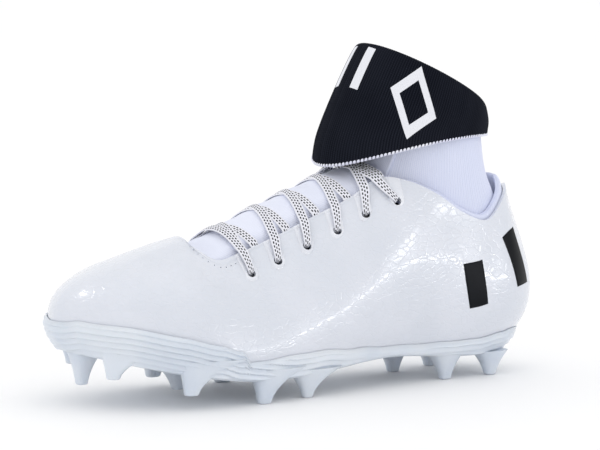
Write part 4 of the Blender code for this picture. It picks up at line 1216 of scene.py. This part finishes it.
def build_lining(finish):
    """The padded collar, fuller than its solid: a soft roll inside the rim and the heel's tab."""
    reach = COLLAR_ROW - 1
    sides = 36
    near = UPPER_WALL + 1.5 * GAP
    rings = []
    for index in range(-reach * 12, reach * 12 + 1):
        place = index / 12
        row = abs(place)
        fade = 1 - eased(row, reach - 1.5, reach)
        rise = (LINING_RISE + HEEL_TAB_RISE * math.exp(-((row / HEEL_TAB_ROWS) ** 2))) * (0.3 + 0.7 * fade)
        wall = LINING_WALL * (0.45 + 0.55 * fade)
        low = level_below(place, LINING_DROP, 0.01)
        top = wall_point(place, 1.0)
        up = (top - wall_point(place, 0.94)).normalized()
        out = wall_normal(place, 1.0)
        ring = [wall_offset(place, level, -near) for level in (low, (1 + low) / 2, 0.985)]
        for inward, high in ((0.0, 0.45), (0.25, 0.92), (0.6, 1.0), (0.95, 0.55)):
            ring.append(top - out * (near + wall * inward) + up * (GAP + rise * high))
        ring.append(wall_offset(place, (1 + low) / 2, -near - wall))
        ring.append(wall_offset(place, low, -near - wall * 0.5))
        rings.append(round_ring(np.array(ring), sides))
    grid = np.array(rings)
    count = len(rings) * sides
    faces = grid_faces(len(rings), sides, False, True)
    faces += [tuple(range(sides)), tuple(reversed(range(count - sides, count)))]
    uv = flat_map(grid.transpose(1, 0, 2)).transpose(1, 0, 2).reshape(-1, 2)
    piece = new_piece(
        "collar_padding", grid.reshape(-1, 3), faces, [finish], "lilac_knit", ("collar_lining",), uv,
        smooth=60,
    )
    outward(piece)


def round_ring(ring, count):
    """A closed ring of points read at more places, straight along its sides and round at its corners."""
    return np.array([spline_at(ring, index / count * len(ring), cyclic=True) for index in range(count)])


def finer(grid, by_rows, by_columns):
    """The same sheet with more rows and columns, smooth through the given points."""

    def along(points, times):
        return np.array([spline_at(points, index / times) for index in range((len(points) - 1) * times + 1)])

    tall = along(grid, by_rows)
    return along(tall.transpose(1, 0, 2), by_columns).transpose(1, 0, 2)


TONGUE_ROWS_FINER = 8
TONGUE_COLUMNS_FINER = 9
TUCK_SMOOTHING = 160  # rounds


def build_tongue(finish):
    """The knitted instep, at a finer pitch, with the soft folds that the lacing draws across it."""
    tucked = 1 - 1 / WALL_STEPS
    rows = [index / COLUMNS_PER_ROW for index in range((THROAT_ROW + 1) * 2, COLLAR_ROW * 2 - 1, -1)]
    shares = (1.0, 0.6, 0.2, -0.2, -0.6, -1.0)
    coarse = []
    for row in rows:
        depth = UPPER_WALL + TUCK_CLEARANCE * (1 + 1.2 * eased(row, THROAT_ROW - 2.5, THROAT_ROW - 0.5))
        line = [tuple(wall_offset(row, tucked, -depth))]
        for share in shares:
            if row >= THROAT_ROW:
                side = on_side(row, share)
                line.append(tuple(wall_offset(side, 1 - abs(share) / WALL_STEPS / 2, -depth)))
            else:
                line.append(tuple(throat_arch(row, share, depth)))
        line.append(tuple(wall_offset(SIDES - row, tucked, -depth)))
        coarse.append(line)
    front = finer(np.array(coarse), TONGUE_ROWS_FINER, TONGUE_COLUMNS_FINER)
    places = rows[0] - np.arange(len(front)) / TONGUE_ROWS_FINER / COLUMNS_PER_ROW
    hold = np.array([eased(row, 12.6, 14.0) for row in places])[1:-1, None, None]
    for _ in range(TUCK_SMOOTHING):
        middle = (front[:-2] + front[2:]) / 2
        middle[:, 1:-1] = (middle[:, 1:-1] + (front[1:-1, :-2] + front[1:-1, 2:]) / 2) / 2
        front[1:-1] += (middle - front[1:-1]) * hold
    out = normals_of(front)
    if out[len(out) // 2, out.shape[1] // 2, 2] < 0:
        out = -out
    for i, row in enumerate(places):
        ends = swelling(row, COLLAR_ROW + 0.2, COLLAR_ROW + 1.4, 12.6, 14.4)
        for j, share in enumerate(np.linspace(1.4, -1.4, front.shape[1])):
            if abs(share) < 1:
                relief = tongue_relief(row, share)
                spot, up = lace_bed(row, share * BED_EDGE)
                full = spot + up * (TONGUE_SWELL + relief - 0.0022 * eased(abs(share), 0.72, 1.0))
                on_bed = ends * (1 - eased(abs(share), 0.86, 1.0))
                front[i, j] = (front[i, j] + out[i, j] * relief) * (1 - on_bed) + np.array(full) * on_bed
    outward(shell_piece(
        "tongue_knit", front, front - out * TONGUE_WALL, [finish], "lilac_knit", uv=flat_map(front),
        replaces=("tongue",), smooth=60,
    ))


def tongue_relief(row, share):
    """Soft troughs under each crossing and a ridge between two of them."""
    wave = math.cos(math.tau * (row - EYELET_ROWS[0] + 0.35) / 0.86)
    middle = 1 - abs(share) ** 2
    return 0.0005 * wave * middle * eased(row, 8.4, 9.2) * (1 - eased(row, 12.2, 13.0))


# Laces
LACE_ROUND = 14  # points round a lace's section
LACE_PITCH = 60  # sections along one strand
LACE_SETTLE = 0.0010  # how much closer to the tongue than their solids the laces lie
STRAND_THICKNESS = 0.0010
TONGUE_SWELL = 0.0002  # how far the tongue stands over the bed that its laces are laid on
# A strand's start: depth out of its eyelet, distance up the wall, and its width as a share.
LACE_HEAD = (
    (-0.0060, 0.0008, 0.60), (-0.0040, 0.0006, 0.60), (-0.0018, 0.0005, 0.60), (-0.0004, 0.0006, 0.60),
    (0.0006, 0.0009, 0.66), (0.0013, 0.0014, 0.76),
)
# A strand's end: drop below the throat's edge, and depth under the wall.
LACE_TAIL = ((0.0005, 0.0008), (0.0025, 0.0022), (0.0050, 0.0030), (0.0085, 0.0034))


def strand_route(start, end, lift, lead, enter, leave):
    """Points, outward directions and widths of one strand, with its runs through or under the wall."""
    route = []
    for share in (index / LACE_PITCH for index in range(LACE_PITCH + 1)):
        row = start[0] + (end[0] - start[0]) * share**lead
        across = start[1] + (end[1] - start[1]) * share
        spot, out = lace_bed(row, max(-0.999, min(0.999, across)))
        raised = lift * math.sin(math.pi * share) - LACE_DIVE * eased(share, 0.75, 1.0)
        tab = TAB_HEIGHT * eased(abs(across), BED_EDGE - 0.05, BED_EDGE + 0.04)
        level = LACE_LIFT - LACE_SETTLE * eased(BED_EDGE + 0.1 - abs(across), 0.0, 0.3)
        route.append((spot + out * (level + raised * LACE_THICKNESS + tab * 0.6), out, 1.0))
    if enter:
        eyelet, out = eyelet_spot(start[1], start[0])
        up = (route[2][0] - eyelet).normalized()
        head = []
        for depth, back, width in LACE_HEAD:
            way = -up if depth < 0.0004 else (out - up).normalized()
            head.append((eyelet + out * depth + up * back, way, width))
        for index, (spot, out, _) in enumerate(route[3:11]):
            head.append((spot, out, 0.80 + 0.20 * eased(index / 8, 0, 1)))
        route = head + route[11:]
    if leave:
        for drop, depth in LACE_TAIL:
            place = on_side(end[0] - LACE_ADVANCE * drop / EYELET_DROP, end[1])
            t = drop_level(place, drop)
            route.append((wall_offset(place, t, -depth), wall_normal(place, t), 1.0))
    return route


def strand_mesh(route, points, faces, flats, walked):
    """Adds one strand: flat sections with rounded edges, and flat coordinates along and across it."""
    first, last = len(points), len(route) - 1
    around = [(max(0, index - 1), min(last, index + 1)) for index in range(last + 1)]
    spots = [(route[low][0] + one[0] * 2 + route[high][0]) / 4 for one, (low, high) in zip(route, around)]
    for spot, (_, out, width), (low, high) in zip(spots, route, around):
        along = (spots[high] - spots[low]).normalized()
        walked += (spot - spots[low]).length * 1000
        flat = along.cross(out).normalized() * (LACE_WIDTH * width / 2)
        up = flat.cross(along).normalized() * (STRAND_THICKNESS * (1 + (1 - width) * 0.7) / 2)
        for angle in (math.tau * index / LACE_ROUND for index in range(LACE_ROUND)):
            c, s = squared(math.cos(angle), 0.55), squared(math.sin(angle), 0.80)
            points.append(spot + flat * c + up * (s * (1.0 - 0.25 * abs(c) ** 3)))
            flats.append((walked, c * LACE_WIDTH / 2 * 1000))
    count = len(route) * LACE_ROUND
    ends = [tuple(reversed(range(LACE_ROUND))), tuple(range(count - LACE_ROUND, count))]
    for face in grid_faces(len(route), LACE_ROUND, False, True) + ends:
        faces.append(tuple(first + corner for corner in face))


def build_laces(finish):
    """Every strand: out of its eyelet, over the tongue and under the opposite edge."""
    points, faces, flats, strands = [], [], [], []
    both = ((1, LACE_OVER), (-1, LACE_UNDER))
    for number, (low, high) in enumerate(zip(EYELET_ROWS, EYELET_ROWS[1:])):
        for side, lift in both:
            start = side * (LACE_START if number else LACE_END)
            end = (high + LACE_ADVANCE, -side * LACE_END)
            strands.append(((low, start), end, lift, 1.0, number > 0, True))
    low, top = EYELET_ROWS[0], EYELET_ROWS[-1]
    strands.append(((low, LACE_START), (low, -LACE_START), LACE_OVER + 0.9, 1.0, True, False))
    for side, lift in both:
        end = (TOP_CROSSING_ROW, -0.1 * side)
        strands.append(((top, side * LACE_START), end, lift, TOP_LEAD, True, False))
    for index, (start, end, *rest) in enumerate(strands):
        route = strand_route(start, end, *rest)
        if start[0] == end[0]:
            tail = strand_route(end, start, *rest)
            route = route[: len(route) - LACE_PITCH // 2] + tail[: len(tail) // 2][::-1]
        strand_mesh(route, points, faces, flats, index * 3.7)
    replaced = [f"lace_{number}" for number in range(1, 6)]
    outward(new_piece("lacing", points, faces, [finish], "lace_weave", replaced, flats, smooth=60))


# Plain marks
def wall_patch(name, corners, thickness, finish, rows=28, columns=16):
    """A thin plain piece on the wall: corners are (place, t), round the patch."""
    a, b, c, d = corners

    def spots(v, u):
        place, t = ((a[k] * (1 - u) + b[k] * u) * (1 - v) + (d[k] * (1 - u) + c[k] * u) * v for k in (0, 1))
        edge = min(u, 1 - u) * (columns - 1)
        end = min(v, 1 - v) * (rows - 1)
        lift = thickness * min(1.0, 0.35 + edge, 0.35 + end)
        return wall_offset(place, t, lift), wall_offset(place, t, -0.0003)

    outward(shell_piece(name, *sheets(rows, columns, spots), [finish], "black_knit"))


def build_marks(finish):
    """Plain black blocks on the heel's sides, parted by a slanting gap, and a band behind the heel."""
    for side, word in ((1, "lateral"), (-1, "medial")):
        blocks = (
            ((4.95, 0.640), (4.30, 0.710), (3.95, 0.370), (4.50, 0.330)),
            ((3.45, 0.800), (2.75, 0.790), (2.15, 0.430), (2.85, 0.420)),
        )
        for number, corners in enumerate(blocks):
            corners = [(row * side % SIDES, t) for row, t in corners]
            wall_patch(f"heel_block_{word}_{number + 1}", corners, 0.00028, finish)
    corners = [(1.35, 0.80), (-1.35, 0.80), (-1.35, 0.66), (1.35, 0.66)]
    wall_patch("heel_band", corners, 0.00028, finish, rows=14, columns=40)


# Camera and light
ELEVATION = math.radians(7)
AZIMUTH = math.radians(33)  # from the lateral side towards the toe
DISTANCE = 2.4
PIXELS_PER_MM = 1.90
FRAME_WIDTH = 600
AIM = Vector((0.134, 0.0, 0.081))
AIM_PIXEL = (309, 232)


def view_back():
    level = Vector((math.sin(AZIMUTH), math.cos(AZIMUTH), 0.0))
    return level * math.cos(ELEVATION) + UP * math.sin(ELEVATION)


def build_camera():
    data = bpy.data.cameras.new("camera")
    camera = placed("camera", data)
    camera.location = AIM + ORIGIN + view_back() * DISTANCE
    camera.rotation_euler = view_back().to_track_quat("Z", "Y").to_euler()
    data.sensor_width = 36.0
    data.lens = PIXELS_PER_MM * DISTANCE * 1000 / FRAME_WIDTH * data.sensor_width
    data.shift_x = -(AIM_PIXEL[0] - 300) / FRAME_WIDTH
    data.shift_y = (AIM_PIXEL[1] - 225) / FRAME_WIDTH
    data.clip_start = 0.05
    data.clip_end = 60.0
    bpy.context.scene.camera = camera


def area_light(name, spot, aim, size, power, tall=None, gloss_only=False):
    data = bpy.data.lights.new(name, "AREA")
    data.energy = power
    data.size = size
    if tall:
        data.shape = "RECTANGLE"
        data.size_y = tall
    lamp = placed(name, data)
    lamp.location = spot
    lamp.rotation_euler = (Vector(spot) - Vector(aim)).to_track_quat("Z", "Y").to_euler()
    lamp.visible_diffuse = not gloss_only


def mirror_way(place, t):
    """Where a spot of the upper reflects the camera's view to."""
    out = wall_normal(place, t)
    back = view_back()
    return wall_point(place, t) + ORIGIN, (out * (2 * out.dot(back)) - back).normalized()


def build_stage():
    mesh = bpy.data.meshes.new("floor")
    half = 9.0
    corners = [(-half, -half, 0), (half, -half, 0), (half, half, 0), (-half, half, 0)]
    mesh.from_pydata(corners, [], [(0, 1, 2, 3)])
    n = Nodes("floor_look")
    colour = n.mix(n.noise(3.0, 2.0), (0.955, 0.955, 0.96), (0.97, 0.97, 0.975))
    mesh.materials.append(n.set(base_color=colour, roughness=0.7))
    placed("floor", mesh)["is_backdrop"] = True
    world = bpy.data.worlds.new("studio")
    world.use_nodes = True
    world.node_tree.nodes["Background"].inputs["Color"].default_value = (1.0, 1.0, 1.0, 1.0)
    world.node_tree.nodes["Background"].inputs["Strength"].default_value = 1.04
    bpy.context.scene.world = world
    area_light("overhead", (0.1, 0.5, 2.2), (0, 0, 0.05), 2.2, 3.0)
    area_light("front", (1.6, 1.9, 1.2), (0, 0, 0.06), 1.2, 0.6)
    for name, place, t, far, size, power, tall in (
        ("toe_box", 20.8, 0.662, 1.3, 0.13, 1.2, None),
        ("quarter_box", 7.0, 0.62, 1.4, 0.10, 0.5, 0.22),
        ("side_strip", 10.2, 0.31, 1.5, 0.50, 0.8, 0.035),
    ):
        spot, way = mirror_way(place, t)
        area_light(name, spot + way * far, spot, size, power, tall, gloss_only=True)
    bpy.context.scene.view_settings.view_transform = "Standard"


def main():
    skin = glossy_finish("glossy_skin_look", WHITE_SKIN, PALE_SKIN)
    tab = glossy_finish("tab_look", PALE_SKIN, (0.86, 0.88, 0.94))
    plate = plate_finish()
    lilac = knit_finish("lilac_knit_look", LILAC, LILAC_LIGHT, 1.05, 0.95, 0.10, depth=0.00007)
    instep = knit_finish(
        "instep_knit_look", (0.735, 0.765, 0.895), (0.800, 0.825, 0.930), 0.80, 0.70, 0.10, depth=0.00004
    )
    black = knit_finish("black_knit_look", BLACK, BLACK_LIGHT, 1.35, 1.1, 0.0, cuff_marks, 0.04)
    thread = plain_finish(
        "thread_look", (0.70, 0.71, 0.86), (0.84, 0.85, 0.93), 0.75, 1800.0, 0.0001, sheen=0.2
    )
    mark = plain_finish(
        "mark_look", (0.003, 0.004, 0.006), (0.006, 0.007, 0.010), 0.35, 1200.0, 0.00003, gloss=0.10
    )
    build_upper(skin)
    for number, eyelet in enumerate(EYELETS):
        build_tab(number + 1, *eyelet, tab)
    build_plate(plate)
    rings = build_sleeve(lilac, black)
    build_hem(rings[-1], rings[-3], thread)
    build_lining(lilac)
    build_tongue(instep)
    build_laces(lace_finish())
    build_marks(mark)
    foam = plain_finish("insole_look", (0.09, 0.09, 0.11), (0.13, 0.13, 0.16), 0.9, 700.0, 0.0002, sheen=0.2)
    inlay = plain_finish("inlay_look", (0.010, 0.010, 0.012), (0.016, 0.016, 0.018), 0.40)
    for node, finish in (("insole", foam), ("arch_inlay", inlay)):
        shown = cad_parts[node]
        for slot in shown.material_slots:
            slot.material = finish
    build_stage()
    build_camera()


main()
boxes = {"cad": CAD_BOX, "visual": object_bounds()}
{name: [[float(v) for v in corner] for corner in box] for name, box in boxes.items()}
